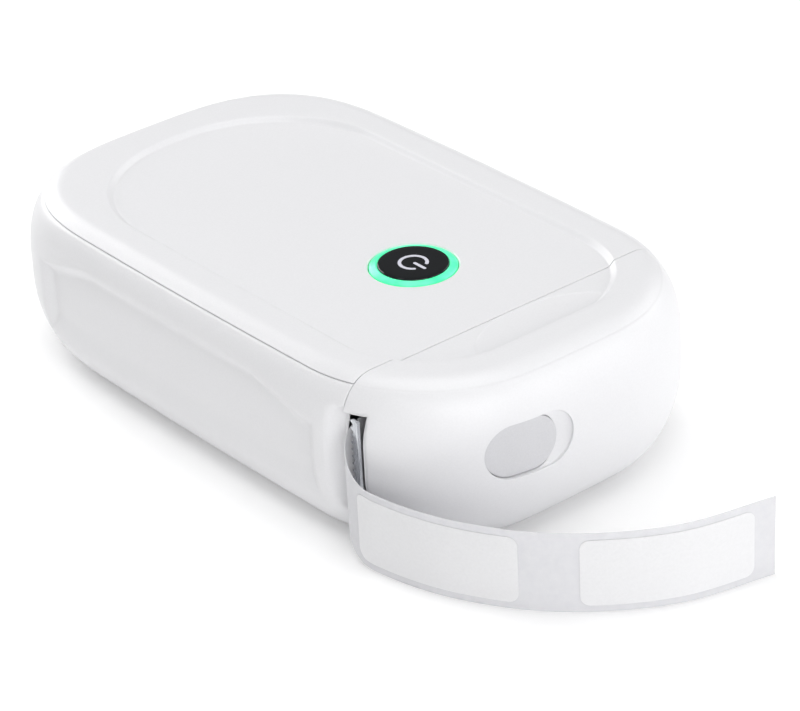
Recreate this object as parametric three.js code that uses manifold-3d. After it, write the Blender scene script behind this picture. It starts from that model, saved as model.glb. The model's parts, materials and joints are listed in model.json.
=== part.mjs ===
// Pocket thermal label maker, lying on its back with a curl of labels coming out of its side.
// Millimetres. +Z is up, -Y is the end with the swinging cover, -X is the side the labels leave.
// The origin is on the table, under the middle of the case.
import * as THREE from "three";
import { mergeVertices } from "three/addons/utils/BufferGeometryUtils.js";
import Module from "manifold-3d";

const wasm = await Module();
wasm.setup();

// Case
const LENGTH = 128;
const WIDTH = 78;
const HEIGHT = 31.6;
const FRONT_CORNER = 29.3; // plan corner radii
const BACK_CORNER = 33.2;
const FRONT_POWER = 2.1; // superellipse powers of those corners
const BACK_POWER = 2.7;
const SIDE_BOW = 0.03; // how far each side bows out, as a share
const TOP_EDGE = { tall: 12, wide: 7.2, power: 2.25, steps: 5 };
const FOOT_EDGE = { tall: 14.3, wide: 7.5, power: 1.8, steps: 4 };
const WALL = 2;
const GAP = 0.3; // between pieces that meet
const OVERLAP = 0.5; // how far shapes of one piece run into each other where they join
const SEAM_Y = -43.3; // where the cover meets the case
const LID_Z = 30.2; // where the lids sit on the tubs
const LID_PLUG = { inset: 5.4, bottom: 28.4 };
const PANEL = { wide: 27.7, front: 52.6, back: 51.5, corner: 22, z: 30.7, slope: 2.2 };
const CORNER_STEPS = 11;
const SIDE_STEPS = 4;

// Power button
const POWER = { x: 0, y: -18.9, disc: 6.3, ring: 7.75, hole: 8.05, top: 31.2, travel: 0.5 };
const BOARD = { z: 25.2, thick: 0.8, halfX: 12.5, halfY: 8.5 };
const BOARD_POST = { x: 10.5, radius: 1.6 };
const DOME = { radius: 2.6, tall: 0.35 };
const RING_LED = { x: 7.2, half: 0.8, low: 26.3, high: 27.1 };
const BUTTON_POST = { low: 27.2, radius: 1.6, discLow: 29.6 };
const RING_LOW = 28.9;

// Label path
const TAPE = { low: 9, wide: 15, thick: 0.25, y: -44 };
const LABEL = { long: 30, wide: 12.4, thick: 0.2, gap: 10, tail: 4 };
const NIP_X = -24; // where the head presses the tape on the platen
const ROLL = { x: 8, y: -26, outer: 17, bore: 6.6, core: 5.6, spindle: 5.2 };
const PLATEN = { x: NIP_X, y: -47.95, radius: 3.5, shaft: 1.25 };
const PLATEN_ARMS = [[24.9, 26.1], [7.95, 8.75]]; // the heights of the arms that hold its shaft
const PLATEN_HOLDER = { half: 2.8, front: -53.2, plate: 1, back: -46.2, right: -8 };
const NOTCH = { back: -47.3, low: 8.2, lip: 26.0, inner: -31 };
const BLADE = { x: -35.9, y0: -47.2, y1: -44.9, low: 9.2, high: 25.6, thick: 0.4, teeth: 12 };

// Gears
const MODULE = 0.5;
const PLATEN_TEETH = 14;
const IDLER_TEETH = 24;
const PINION_TEETH = 12;
// Root and tip radii in modules from the pitch circle, half widths in shares of the pitch.
const TOOTH = { root: -1.15, tip: 0.85, rootHalf: 0.36, tipHalf: 0.11 };
const GEAR_Z = { low: 4.6, high: 7.6 };
const IDLER = { x: NIP_X + 2.5, y: PLATEN.y + Math.sqrt(9.5 ** 2 - 2.5 ** 2) };
const MOTOR = {
  x: IDLER.x + 1.5,
  y: IDLER.y + Math.sqrt(9 ** 2 - 1.5 ** 2),
  radius: 7.5,
  low: 9.2,
  top: 23.8,
};
const MOTOR_EAR = { x: 8.6, y: 4.4, radius: 2.4, hole: 1.1, top: 10.3 };

// Cover hinge, on a vertical pin
const HINGE = { x: 35.4, y: SEAM_Y, pin: 0.8, hole: 0.9, barrel: 2, coverCut: 2.3, caseCut: 2.8 };
const RELIEF = { low: 6.5, high: 27 };
const CASE_WEB = { left: 0.9, right: 1.4, long: 3.9 };
const COVER_WEB = { left: 1.2, right: 0.5, long: 3.6 };
const KNUCKLES = { low: [9, 12.8], middle: [13.1, 20.5], high: [20.8, 24.5] };

// Release button in the front end
const RELEASE = { x: -13.9, z: 18.45, half: 7.3, tall: 10.4, sink: 0.7, flange: -58.9, back: -57.7 };
// The finger slope at the button's right end: where it ends, how far it runs and how deep.
const FINGER = { right: -3.8, run: 2.5, front: -64, deep: 2.4 };
const COLLAR = { wide: 1, back: -59.4 };
const STEM = { x0: -15, x1: -12, top: 17 };
// The latch slides in -X when the button's wedge meets its slanted end.
const LATCH = { low: 5, high: 7.6 };
const WEDGE_OUTLINE = [[-15, -57.8], [-13.2, -57.8], [-13.2, -56]];
const LATCH_OUTLINE = [
  [-17.5, -57.2],
  [-15, -57.2],
  [-12.4, -54.6],
  [-5.6, -54.6],
  [-5.6, -42.4],
  [-4.6, -42.4],
  [-5.6, -41],
  [-7.6, -41],
  [-7.6, -52.2],
  [-17.5, -52.2],
];
const RELEASE_SPRING = { y0: -56.1, y1: -53.5, radius: 2, wire: 0.3, turns: 3 };

// Chassis, which holds the roll and the drive
const CHASSIS = { half: 26.2, front: -42.4, back: -5.5, low: 2.4, high: 3.9, wall: 1, wallTop: 14 };
const WING = { left: -31.5, right: -26, back: -17 };
const LUG = { x0: -4.2, x1: -2.2, y0: -42.3, y1: -40.8, top: 7.4 };
const ROLL_SEAT = { radius: 12, top: 8.3, spindleTop: 23.5 };
const IDLER_POST = { radius: 1, top: 8.4 };
const MOTOR_POST = { radius: 1.6, top: 8.9, pilot: 0.8, pilotLow: 5 };

// Print head
const HEAD = { x0: -27.5, x1: -20.5, front: -43.55, low: 9.3, high: 24.3, pivotX: -19.1, pivotY: -41 };
const HEAD_PIN = { radius: 0.7, hole: 0.8, low: 8.2, high: 25.4 };
const HEAD_FRAME = { left: -28, right: -17.3, armLeft: -20.5, front: -42.4, plate: -38.6, back: -37.7 };
const HEAD_ARMS = [[8.4, 9], [24.6, 25.2]];
const HEAD_SPRING = { x: -24.5, y0: -40.9, y1: -38.95, radius: 1.4, wire: 0.22, turns: 3 };
const RIBBON_OUTLINE = [
  [-33.5, -40.2],
  [-33.2, -40.2],
  [-33.2, 2],
  [-22.4, 10],
  [-22.6, 10.3],
  [-33.5, 2.2],
];

// Electronics
const BATTERY = { x: 16.5, y0: 8, y1: 56, low: 2.4, high: 10.4 };
const PCB = { x: 22, y0: 6, y1: 58.5, low: 13, thick: 1.2 };
const PCB_POSTS = [[-19.4, 9], [19.4, 9], [-19.4, 54.5], [19.4, 54.5]];
const PCB_POST = { radius: 2, low: 1.5, pilot: 1, pilotLow: 7 };
const CASE_SCREWS = [[-30, -12], [30, -12], [-28, 46], [28, 46]];
const CASE_POST = { lower: 3.4, upper: 3, meet: 6, pilot: 1.3, pilotTop: 16, well: 2.3, seat: 3 };
const CASE_SCREW = { head: 2, tall: 1.6, shank: 0.95, long: 10.5 };
const PCB_SCREW = { head: 1.8, tall: 1.2, shank: 0.7, long: 5 };
const MOTOR_SCREW = { head: 1.5, tall: 1.2, shank: 0.6, long: 4.6, seat: 10.6 };
const DRIVE = { reach: 0.6, half: 0.25, deep: 0.5 }; // a screw's slot, its reach a share of the head
const USB = { half: 4.5, y0: 55.8, y1: 63, low: 14.5, tall: 3.2, wall: 0.4, tongue: 1.25 };

// ---------- solids ----------

function solid(geometry) {
  const bare = geometry.index ? geometry.toNonIndexed() : geometry.clone();
  bare.deleteAttribute("normal");
  bare.deleteAttribute("uv");
  const merged = mergeVertices(bare, 1e-4);
  return new wasm.Manifold(
    new wasm.Mesh({
      numProp: 3,
      vertProperties: merged.attributes.position.array,
      triVerts: new Uint32Array(merged.index.array),
    }),
  );
}

function geometryOf(body) {
  const mesh = body.getMesh();
  const geometry = new THREE.BufferGeometry();
  geometry.setAttribute("position", new THREE.BufferAttribute(mesh.vertProperties, 3));
  geometry.setIndex(new THREE.BufferAttribute(mesh.triVerts, 1));
  const faceted = geometry.toNonIndexed();
  faceted.computeVertexNormals();
  return faceted;
}

function box(x0, x1, y0, y1, z0, z1) {
  const geometry = new THREE.BoxGeometry(x1 - x0, y1 - y0, z1 - z0);
  geometry.translate((x0 + x1) / 2, (y0 + y1) / 2, (z0 + z1) / 2);
  return solid(geometry);
}

function rod(x, y, z0, z1, radius, sides = 16) {
  const geometry = new THREE.CylinderGeometry(radius, radius, z1 - z0, sides);
  geometry.rotateX(Math.PI / 2);
  geometry.translate(x, y, (z0 + z1) / 2);
  return solid(geometry);
}

function pipe(x, y, z0, z1, inner, outer, sides = 24) {
  return rod(x, y, z0, z1, outer, sides).subtract(rod(x, y, z0 - 1, z1 + 1, inner, sides));
}

function prism(points, z0, z1) {
  const shape = new THREE.Shape(points.map(([x, y]) => new THREE.Vector2(x, y)));
  const geometry = new THREE.ExtrudeGeometry(shape, { depth: z1 - z0, bevelEnabled: false });
  geometry.translate(0, 0, z0);
  return solid(geometry);
}

function join(...bodies) {
  return bodies.reduce((all, next) => all.add(next));
}

// A coil spring whose axis is along Y, from y0 to y1.
function coil(x, z, y0, y1, radius, wire, turns) {
  const points = [];
  const steps = turns * 10;
  for (let i = 0; i <= steps; i++) {
    const angle = (i / steps) * turns * 2 * Math.PI;
    const y = y0 + wire + ((y1 - y0 - 2 * wire) * i) / steps;
    points.push(new THREE.Vector3(x + radius * Math.cos(angle), y, z + radius * Math.sin(angle)));
  }
  const section = new THREE.Shape().absarc(0, 0, wire, 0, 2 * Math.PI);
  const path = new THREE.CatmullRomCurve3(points);
  const settings = { steps, curveSegments: 3, extrudePath: path, bevelEnabled: false };
  return solid(new THREE.ExtrudeGeometry(section, settings));
}

// A straight-sided gear whose tooth number 0 points along the angle phase.
function gear(x, y, teeth, phase, bore) {
  const pitch = (teeth * MODULE) / 2;
  const step = (2 * Math.PI) / teeth;
  const rim = [
    [pitch + TOOTH.root * MODULE, -TOOTH.rootHalf],
    [pitch + TOOTH.tip * MODULE, -TOOTH.tipHalf],
    [pitch + TOOTH.tip * MODULE, TOOTH.tipHalf],
    [pitch + TOOTH.root * MODULE, TOOTH.rootHalf],
  ];
  const points = [];
  for (let tooth = 0; tooth < teeth; tooth++)
    for (const [radius, share] of rim) {
      const angle = phase + (tooth + share) * step;
      points.push([x + radius * Math.cos(angle), y + radius * Math.sin(angle)]);
    }
  return prism(points, GEAR_Z.low, GEAR_Z.high).subtract(rod(x, y, 0, 12, bore, 16));
}

// ---------- the case's outer form ----------

// One corner of the plan, as points on a superellipse quarter from angle a to a + 90 degrees.
function corner(signX, signY, start) {
  const radius = signY < 0 ? FRONT_CORNER : BACK_CORNER;
  const power = 2 / (signY < 0 ? FRONT_POWER : BACK_POWER);
  const points = [];
  for (let i = 0; i <= CORNER_STEPS; i++) {
    const angle = start + (i / CORNER_STEPS) * (Math.PI / 2);
    const across = Math.abs(Math.cos(angle)) ** power;
    const along = Math.abs(Math.sin(angle)) ** power;
    const x = signX * (WIDTH / 2 - radius + radius * across);
    const y = signY * (LENGTH / 2 - radius + radius * along);
    points.push([x, y]);
  }
  return points;
}

function bowed([x, y]) {
  const nearEnd = ((2 * y) / LENGTH) ** 2;
  const nearSide = ((2 * x) / WIDTH) ** 2;
  return [x * (1 - SIDE_BOW * nearEnd), y * (1 - SIDE_BOW * nearSide)];
}

// The plan outline, counter-clockwise from the front right corner.
function planOutline() {
  const corners = [
    corner(1, -1, -Math.PI / 2),
    corner(1, 1, 0),
    corner(-1, 1, Math.PI / 2),
    corner(-1, -1, Math.PI),
  ];
  const points = [];
  corners.forEach((arc, k) => {
    points.push(...arc);
    const from = arc[arc.length - 1];
    const to = corners[(k + 1) % 4][0];
    for (let i = 1; i < SIDE_STEPS; i++) {
      const share = i / SIDE_STEPS;
      points.push([from[0] + (to[0] - from[0]) * share, from[1] + (to[1] - from[1]) * share]);
    }
  });
  return points.map(bowed);
}

const PLAN = planOutline();

// The outline moved inwards by a distance.
function insetPlan(distance) {
  return PLAN.map(([x, y], i) => {
    const before = PLAN[(i + PLAN.length - 1) % PLAN.length];
    const after = PLAN[(i + 1) % PLAN.length];
    const run = Math.hypot(after[0] - before[0], after[1] - before[1]);
    const outX = (after[1] - before[1]) / run;
    const outY = (before[0] - after[0]) / run;
    return [x - outX * distance, y - outY * distance];
  });
}

// How far the case's surface lies inside its plan outline at height z.
function edgeInset(z) {
  const rise = (z - (HEIGHT - TOP_EDGE.tall)) / TOP_EDGE.tall;
  if (rise > 0) {
    const left = 1 - Math.min(rise, 1) ** TOP_EDGE.power;
    return TOP_EDGE.wide * (1 - left ** (1 / TOP_EDGE.power));
  }
  const drop = Math.max(0, (FOOT_EDGE.tall - z) / FOOT_EDGE.tall);
  const left = 1 - Math.min(drop, 1) ** FOOT_EDGE.power;
  return FOOT_EDGE.wide * (1 - left ** (1 / FOOT_EDGE.power));
}

// Rings of [z, inset] joined into a closed body: a cylinder whose rings are moved onto the outlines.
function loft(rings) {
  const count = PLAN.length;
  const outlines = rings.map(([, inset]) => insetPlan(inset));
  const geometry = new THREE.CylinderGeometry(1, 1, 1, count, rings.length - 1);
  const position = geometry.attributes.position;
  for (let i = 0; i < position.count; i++) {
    const x = position.getX(i);
    const z = position.getZ(i);
    const ring = Math.round((0.5 + position.getY(i)) * (rings.length - 1));
    const turn = Math.round((Math.atan2(x, z) / (2 * Math.PI)) * count);
    const onAxis = Math.hypot(x, z) < 0.5;
    const point = onAxis ? [0, 0] : outlines[ring][(turn + count) % count];
    position.setXYZ(i, point[0], point[1], rings[ring][0]);
  }
  return solid(geometry);
}

// Heights that follow the two rounded edges closely where they curve most.
function edgeHeights() {
  const heights = [];
  for (let i = 0; i <= FOOT_EDGE.steps; i++) {
    const angle = (i / FOOT_EDGE.steps) * (Math.PI / 2);
    heights.push(FOOT_EDGE.tall * (1 - Math.cos(angle) ** (2 / FOOT_EDGE.power)));
  }
  for (let i = 0; i <= TOP_EDGE.steps; i++) {
    const angle = (i / TOP_EDGE.steps) * (Math.PI / 2);
    heights.push(HEIGHT - TOP_EDGE.tall + TOP_EDGE.tall * Math.sin(angle) ** (2 / TOP_EDGE.power));
  }
  return heights;
}

const OUTER = loft(edgeHeights().map((z) => [z, edgeInset(z)]));
const CAVITY_HEIGHTS = [WALL, 3.6, 6, 10, 15, 20, 24, 27, 29, LID_Z + 1];

// The space inside the walls, less a clearance all round.
function hollow(clearance) {
  return loft(
    CAVITY_HEIGHTS.map((z) => [z, edgeInset(Math.min(z, LID_Z)) + WALL + clearance]),
  );
}

const CAVITY = hollow(0);
const FAR = 200;

// The half of a body on the case's side of the seam, or on the cover's side.
function caseSide(body) {
  return body.intersect(box(-FAR, FAR, SEAM_Y + GAP / 2, FAR, -FAR, FAR));
}

function coverSide(body) {
  return body.intersect(box(-FAR, FAR, -FAR, SEAM_Y - GAP / 2, -FAR, FAR));
}

// The sunken panel in the top, a rounded rectangle with sloped edges.
function panelPoints(inset) {
  const points = [];
  const radius = PANEL.corner - inset;
  const x = PANEL.wide - inset - radius;
  const ends = [
    [x, -(PANEL.front - inset - radius), -Math.PI / 2],
    [x, PANEL.back - inset - radius, 0],
    [-x, PANEL.back - inset - radius, Math.PI / 2],
    [-x, -(PANEL.front - inset - radius), Math.PI],
  ];
  for (const [centreX, centreY, start] of ends)
    for (let i = 0; i <= 8; i++) {
      const angle = start + (i / 8) * (Math.PI / 2);
      points.push([centreX + radius * Math.cos(angle), centreY + radius * Math.sin(angle)]);
    }
  return points;
}

function panelCut() {
  const shape = new THREE.Shape(
    panelPoints(PANEL.slope).map(([x, y]) => new THREE.Vector2(x, y)),
  );
  const rise = HEIGHT - PANEL.z;
  const flare = new THREE.ExtrudeGeometry(shape, {
    depth: 1,
    bevelSize: PANEL.slope,
    bevelThickness: rise,
    bevelSegments: 1,
  });
  flare.translate(0, 0, HEIGHT);
  return solid(flare).intersect(box(-FAR, FAR, -FAR, FAR, PANEL.z, HEIGHT + 1));
}

// ---------- case pieces ----------

function lid(side) {
  const cap = OUTER.intersect(box(-FAR, FAR, -FAR, FAR, LID_Z + GAP / 2, FAR));
  const plug = loft([
    [LID_PLUG.bottom, LID_PLUG.inset],
    [LID_Z + 0.3, LID_PLUG.inset],
  ]);
  return side(join(cap, plug)).subtract(panelCut());
}

function topShell() {
  let shell = lid(caseSide).subtract(rod(POWER.x, POWER.y, 20, 40, POWER.hole, 40));
  for (const [x, y] of CASE_SCREWS) {
    const post = rod(x, y, CASE_POST.meet + GAP, LID_PLUG.bottom + OVERLAP, CASE_POST.upper, 14);
    shell = shell.add(post).subtract(rod(x, y, 0, CASE_POST.pilotTop, CASE_POST.pilot, 10));
  }
  const { x: postX, radius } = BOARD_POST;
  const postLow = BOARD.z + BOARD.thick + GAP;
  for (const side of [-1, 1])
    shell = shell.add(rod(side * postX, POWER.y, postLow, LID_PLUG.bottom + OVERLAP, radius, 10));
  return shell;
}

function bottomShell() {
  const tub = OUTER.intersect(box(-FAR, FAR, -FAR, FAR, -1, LID_Z - GAP / 2));
  let shell = caseSide(tub.subtract(CAVITY));
  for (const [x, y] of CASE_SCREWS) {
    shell = shell.add(rod(x, y, OVERLAP, CASE_POST.meet, CASE_POST.lower, 14).intersect(OUTER));
    shell = shell.subtract(rod(x, y, -1, CASE_POST.seat, CASE_POST.well, 14));
    shell = shell.subtract(rod(x, y, -1, CASE_POST.meet + 1, CASE_POST.pilot, 10));
  }
  for (const [x, y] of PCB_POSTS) {
    shell = shell.add(rod(x, y, PCB_POST.low, PCB.low - GAP, PCB_POST.radius, 12));
    shell = shell.subtract(rod(x, y, PCB_POST.pilotLow, PCB.low, PCB_POST.pilot, 8));
  }
  const relief = rod(HINGE.x, HINGE.y, RELIEF.low, RELIEF.high, HINGE.caseCut, 24);
  shell = shell.subtract(relief);
  for (const [low, high] of [KNUCKLES.low, KNUCKLES.high]) {
    const { left, right, long } = CASE_WEB;
    const web = box(HINGE.x - left, HINGE.x + right, HINGE.y, HINGE.y + long, low, high);
    shell = join(shell, web, rod(HINGE.x, HINGE.y, low, high, HINGE.barrel, 20));
  }
  shell = shell.subtract(rod(HINGE.x, HINGE.y, RELIEF.low, RELIEF.high, HINGE.hole, 20));
  const half = USB.half + USB.wall;
  const top = USB.low + USB.tall + USB.wall;
  return shell.subtract(box(-half, half, USB.y1 - 3, FAR, USB.low - USB.wall, top));
}

// ---------- cover pieces ----------

// A stadium prism along Y between y0 and y1, about an x, tapering by slope from y0 to y1.
function stadium(half, tall, y0, y1, middle = RELEASE.x, slope = 0) {
  const radius = tall / 2;
  const points = (shrink) => {
    const list = [];
    for (const [side, start] of [[1, -Math.PI / 2], [-1, Math.PI / 2]])
      for (let i = 0; i <= 8; i++) {
        const angle = start + (i / 8) * Math.PI;
        const x = side * (half - radius) + (radius - shrink) * Math.cos(angle);
        list.push([middle + x, RELEASE.z + (radius - shrink) * Math.sin(angle)]);
      }
    return list;
  };
  const rings = [points(0), points(slope)];
  const count = rings[0].length;
  const geometry = new THREE.CylinderGeometry(1, 1, 1, count, 1);
  const position = geometry.attributes.position;
  for (let i = 0; i < position.count; i++) {
    const x = position.getX(i);
    const z = position.getZ(i);
    const ring = position.getY(i) < 0 ? 0 : 1;
    const turn = Math.round((Math.atan2(x, z) / (2 * Math.PI)) * count);
    const onAxis = Math.hypot(x, z) < 0.5;
    const point = onAxis ? [middle, RELEASE.z] : rings[ring][(2 * count - turn) % count];
    position.setXYZ(i, point[0], ring ? y1 : y0, point[1]);
  }
  return solid(geometry);
}

function coverBody() {
  const tub = OUTER.intersect(box(-FAR, FAR, -FAR, FAR, -1, LID_Z - GAP / 2));
  const { x, half, tall } = RELEASE;
  const { wide } = COLLAR;
  const collar = stadium(half + wide, tall + 2 * wide, -FAR, COLLAR.back).intersect(OUTER);
  const grow = 2; // the slope carried on in front of the surface
  const rise = (FINGER.run / FINGER.deep) * grow;
  const slopeHalf = (FINGER.right - (x - half)) / 2;
  const finger = stadium(
    slopeHalf + rise,
    tall + 0.2 + 2 * rise,
    FINGER.front - grow,
    FINGER.front + FINGER.deep,
    FINGER.right - slopeHalf,
    FINGER.run + rise,
  );
  let cover = coverSide(tub.subtract(CAVITY)).add(collar).subtract(finger);
  cover = cover.subtract(stadium(half, tall, -FAR, COLLAR.back + 5));
  cover = cover.subtract(box(-FAR, NOTCH.inner, NOTCH.back, SEAM_Y + 1, NOTCH.low, NOTCH.lip));
  cover = cover.subtract(rod(HINGE.x, HINGE.y, RELIEF.low, RELIEF.high, HINGE.coverCut, 24));
  const [low, high] = KNUCKLES.middle;
  const { left, right, long } = COVER_WEB;
  const web = box(HINGE.x - left, HINGE.x + right, HINGE.y - long, HINGE.y, low, high);
  cover = join(cover, web, rod(HINGE.x, HINGE.y, low, high, HINGE.barrel, 20));
  return cover.subtract(rod(HINGE.x, HINGE.y, RELIEF.low, RELIEF.high, HINGE.hole, 20));
}

function coverTop() {
  const scoop = new THREE.SphereGeometry(1, 28, 14);
  scoop.scale(15.5, 9.2, 2.2);
  scoop.translate(2.4, -52.4, PANEL.z + 1.3);
  const inside = prism(panelPoints(1), PANEL.z - 3, HEIGHT + 1);
  return lid(coverSide).subtract(solid(scoop).intersect(inside));
}

function blade() {
  const { y0, y1, low, high, teeth } = BLADE;
  const pitch = (high - low) / teeth;
  const outline = [[y0, high], [y0, low]];
  for (let i = 0; i < teeth; i++) {
    outline.push([y1 - 0.5, low + i * pitch]);
    outline.push([y1, low + (i + 0.5) * pitch]);
  }
  outline.push([y1 - 0.5, high]);
  const shape = new THREE.Shape(outline.map(([y, z]) => new THREE.Vector2(y, z)));
  const plate = new THREE.ExtrudeGeometry(shape, { depth: BLADE.thick, bevelEnabled: false });
  plate.rotateY(Math.PI / 2);
  plate.rotateX(Math.PI / 2);
  plate.translate(BLADE.x, 0, 0);
  return solid(plate);
}

function platenFrame() {
  const { half, front, plate, back, right } = PLATEN_HOLDER;
  const left = PLATEN.x - half;
  const arms = PLATEN_ARMS.map(([low, high]) => box(left, PLATEN.x + half, front, back, low, high));
  const [[, top], [bottom]] = PLATEN_ARMS;
  const rear = box(left, right, front, front + plate, bottom, top);
  const shaftHole = rod(PLATEN.x, PLATEN.y, 0, HEIGHT, PLATEN.shaft + 0.1, 16);
  return join(rear, ...arms).subtract(shaftHole).intersect(hollow(GAP + 0.1));
}

function latchSlider() {
  return prism(LATCH_OUTLINE, LATCH.low, LATCH.high);
}

function releaseButton() {
  const half = RELEASE.half - GAP;
  const tall = RELEASE.tall - 2 * GAP;
  const { sink, flange, back } = RELEASE;
  const form = loft(edgeHeights().map((z) => [z, edgeInset(z) + sink]));
  const face = stadium(half, tall, -FAR, flange + OVERLAP).intersect(form);
  const plate = stadium(half + 0.8, tall + 1.6, flange, back).intersect(hollow(GAP));
  const stem = box(STEM.x0, STEM.x1, flange + 0.2, back, LATCH.low, STEM.top);
  const wedge = prism(WEDGE_OUTLINE, LATCH.low, LATCH.high);
  return join(face, plate, stem, wedge);
}

// ---------- labels ----------

// The strip's lower edge: out of the slot, down to the table and round in a wide curl.
const STRIP_ROUTE = [
  [-33.9, -44.0, 9.0],
  [-36.6, -44.6, 7.2],
  [-38.5, -46.9, 3.7],
  [-38.7, -50.2, 1.0],
  [-37.7, -55.0, 0.2],
  [-33.6, -68.0, 0.1],
  [-24.1, -82.3, 0.1],
  [-8.7, -93.6, 0.1],
  [8.8, -98.4, 0.1],
];
const STRIP = new THREE.CatmullRomCurve3(STRIP_ROUTE.map((p) => new THREE.Vector3(...p)));
const STRIP_LENGTH = STRIP.getLength();

// A thin upright band that follows the strip, from one distance along it to another.
function band(from, to, raise, tall, off, thick, steps) {
  const geometry = new THREE.BoxGeometry(1, 1, 1, steps, 1, 1);
  const position = geometry.attributes.position;
  for (let i = 0; i < position.count; i++) {
    const share = (from + (to - from) * (position.getX(i) + 0.5)) / STRIP_LENGTH;
    const point = STRIP.getPointAt(share);
    const along = STRIP.getTangentAt(share);
    const run = Math.hypot(along.x, along.y);
    const side = off + thick * (position.getY(i) + 0.5);
    const x = point.x - (along.y / run) * side;
    const y = point.y + (along.x / run) * side;
    position.setXYZ(i, x, y, point.z + raise + tall * (position.getZ(i) + 0.5));
  }
  return solid(geometry);
}

function labelBand(number) {
  const end = STRIP_LENGTH - LABEL.tail - (2 - number) * (LABEL.long + LABEL.gap);
  const raise = (TAPE.wide - LABEL.wide) / 2;
  return band(end - LABEL.long, end, raise, LABEL.wide, -LABEL.thick - 0.3, LABEL.thick, 10);
}

// ---------- inside pieces ----------

function chassis() {
  const { half, front, back, low, high, wall, wallTop } = CHASSIS;
  const foot = high - OVERLAP + 0.1;
  const floor = box(-half, half, front, back, low, high);
  const wing = box(WING.left, WING.right, front, WING.back, low, high);
  const seat = rod(ROLL.x, ROLL.y, foot, ROLL_SEAT.top, ROLL_SEAT.radius, 24);
  const spindle = rod(ROLL.x, ROLL.y, foot, ROLL_SEAT.spindleTop, ROLL.spindle, 20);
  const idlerPost = rod(IDLER.x, IDLER.y, foot, IDLER_POST.top, IDLER_POST.radius, 12);
  const lug = box(LUG.x0, LUG.x1, LUG.y0, LUG.y1, foot, LUG.top);
  const posts = motorEars().map(([x, y]) => rod(x, y, foot, MOTOR_POST.top, MOTOR_POST.radius, 12));
  const rear = box(-half, half, back - wall, back, foot, wallTop);
  const deck = join(floor, wing).intersect(hollow(GAP));
  return motorEars().reduce(
    (left, [x, y]) => left.subtract(rod(x, y, MOTOR_POST.pilotLow, 10, MOTOR_POST.pilot, 8)),
    join(deck, seat, spindle, idlerPost, lug, rear, ...posts),
  );
}

function motorEars() {
  return [-1, 1].map((side) => [MOTOR.x + side * MOTOR_EAR.x, MOTOR.y - side * MOTOR_EAR.y]);
}

function driveMotor() {
  const { radius, hole, top } = MOTOR_EAR;
  const can = rod(MOTOR.x, MOTOR.y, MOTOR.low, MOTOR.top, MOTOR.radius, 28);
  const ears = motorEars().map(([x, y]) => rod(x, y, MOTOR.low, top, radius, 12));
  const body = join(can, ...ears).subtract(rod(MOTOR.x, MOTOR.y, 5, 13, hole, 16));
  return motorEars().reduce((left, [x, y]) => left.subtract(rod(x, y, 5, 12, hole, 10)), body);
}

function motorPinion() {
  const teeth = gear(MOTOR.x, MOTOR.y, PINION_TEETH, phases().pinion, 0.5);
  return teeth.add(rod(MOTOR.x, MOTOR.y, GEAR_Z.low, 12, 1, 16));
}

// Each gear's phase, so that a tooth of one points into a gap of the next.
function phases() {
  const toPlaten = Math.atan2(PLATEN.y - IDLER.y, PLATEN.x - IDLER.x);
  const toMotor = Math.atan2(MOTOR.y - IDLER.y, MOTOR.x - IDLER.x);
  const idlerStep = (2 * Math.PI) / IDLER_TEETH;
  const idler = toPlaten;
  const platen = toPlaten + Math.PI + Math.PI / PLATEN_TEETH;
  const ahead = (toMotor - idler) / idlerStep;
  const offset = (ahead - Math.round(ahead)) * idlerStep;
  const pinion =
    toMotor + Math.PI + Math.PI / PINION_TEETH + (offset * IDLER_TEETH) / PINION_TEETH;
  return { idler, platen, pinion };
}

function printHead() {
  return box(HEAD.x0, HEAD.x1, HEAD.front, HEAD.front + 0.9, HEAD.low, HEAD.high);
}

function headHeatsink() {
  const y0 = HEAD.front + 1.2;
  const plate = box(HEAD.x0, HEAD.x1 - 0.2, y0, y0 + 1.1, HEAD.low, HEAD.high);
  const ears = [[HEAD.low, HEAD.low + 2], [HEAD.high - 2, HEAD.high]].map(([low, high]) =>
    box(HEAD.x1 - 0.6, HEAD.pivotX + 1.3, y0, HEAD.pivotY + 1.3, low, high),
  );
  const hole = rod(HEAD.pivotX, HEAD.pivotY, 0, HEIGHT, HEAD_PIN.hole, 14);
  return join(plate, ...ears).subtract(hole);
}

function headFrame() {
  const { left, right, armLeft, front, plate: plateFront, back } = HEAD_FRAME;
  const [[bottom], [, top]] = HEAD_ARMS;
  const plate = box(left, right, plateFront, back, bottom, top);
  const arms = HEAD_ARMS.map(([low, high]) => box(armLeft, right, front, back, low, high));
  return join(plate, ...arms).subtract(rod(HEAD.pivotX, HEAD.pivotY, 0, HEIGHT, HEAD_PIN.hole, 14));
}

function innerTape() {
  const y0 = TAPE.y - TAPE.thick / 2;
  return box(-33.5, 6, y0, y0 + TAPE.thick, TAPE.low, TAPE.low + TAPE.wide);
}

function headRibbon() {
  return prism(RIBBON_OUTLINE, 15.4, 22);
}

// A slotted screw whose head's outer face is at height z; up is 1 if it goes in from above.
function screw(x, y, z, { head, tall, shank, long }, up) {
  const between = (a, b) => [Math.min(z - up * a, z - up * b), Math.max(z - up * a, z - up * b)];
  const reach = head * DRIVE.reach;
  const slot = box(x - reach, x + reach, y - DRIVE.half, y + DRIVE.half, ...between(-1, DRIVE.deep));
  const cap = rod(x, y, ...between(0, tall), head, 12).subtract(slot);
  return join(cap, rod(x, y, ...between(tall - 0.2, tall + long), shank, 8));
}

function mainPcb() {
  let board = box(-PCB.x, PCB.x, PCB.y0, PCB.y1, PCB.low, PCB.low + PCB.thick);
  for (const [x, y] of PCB_POSTS) board = board.subtract(rod(x, y, 0, HEIGHT, PCB_POST.pilot + 0.2, 10));
  return board;
}

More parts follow.
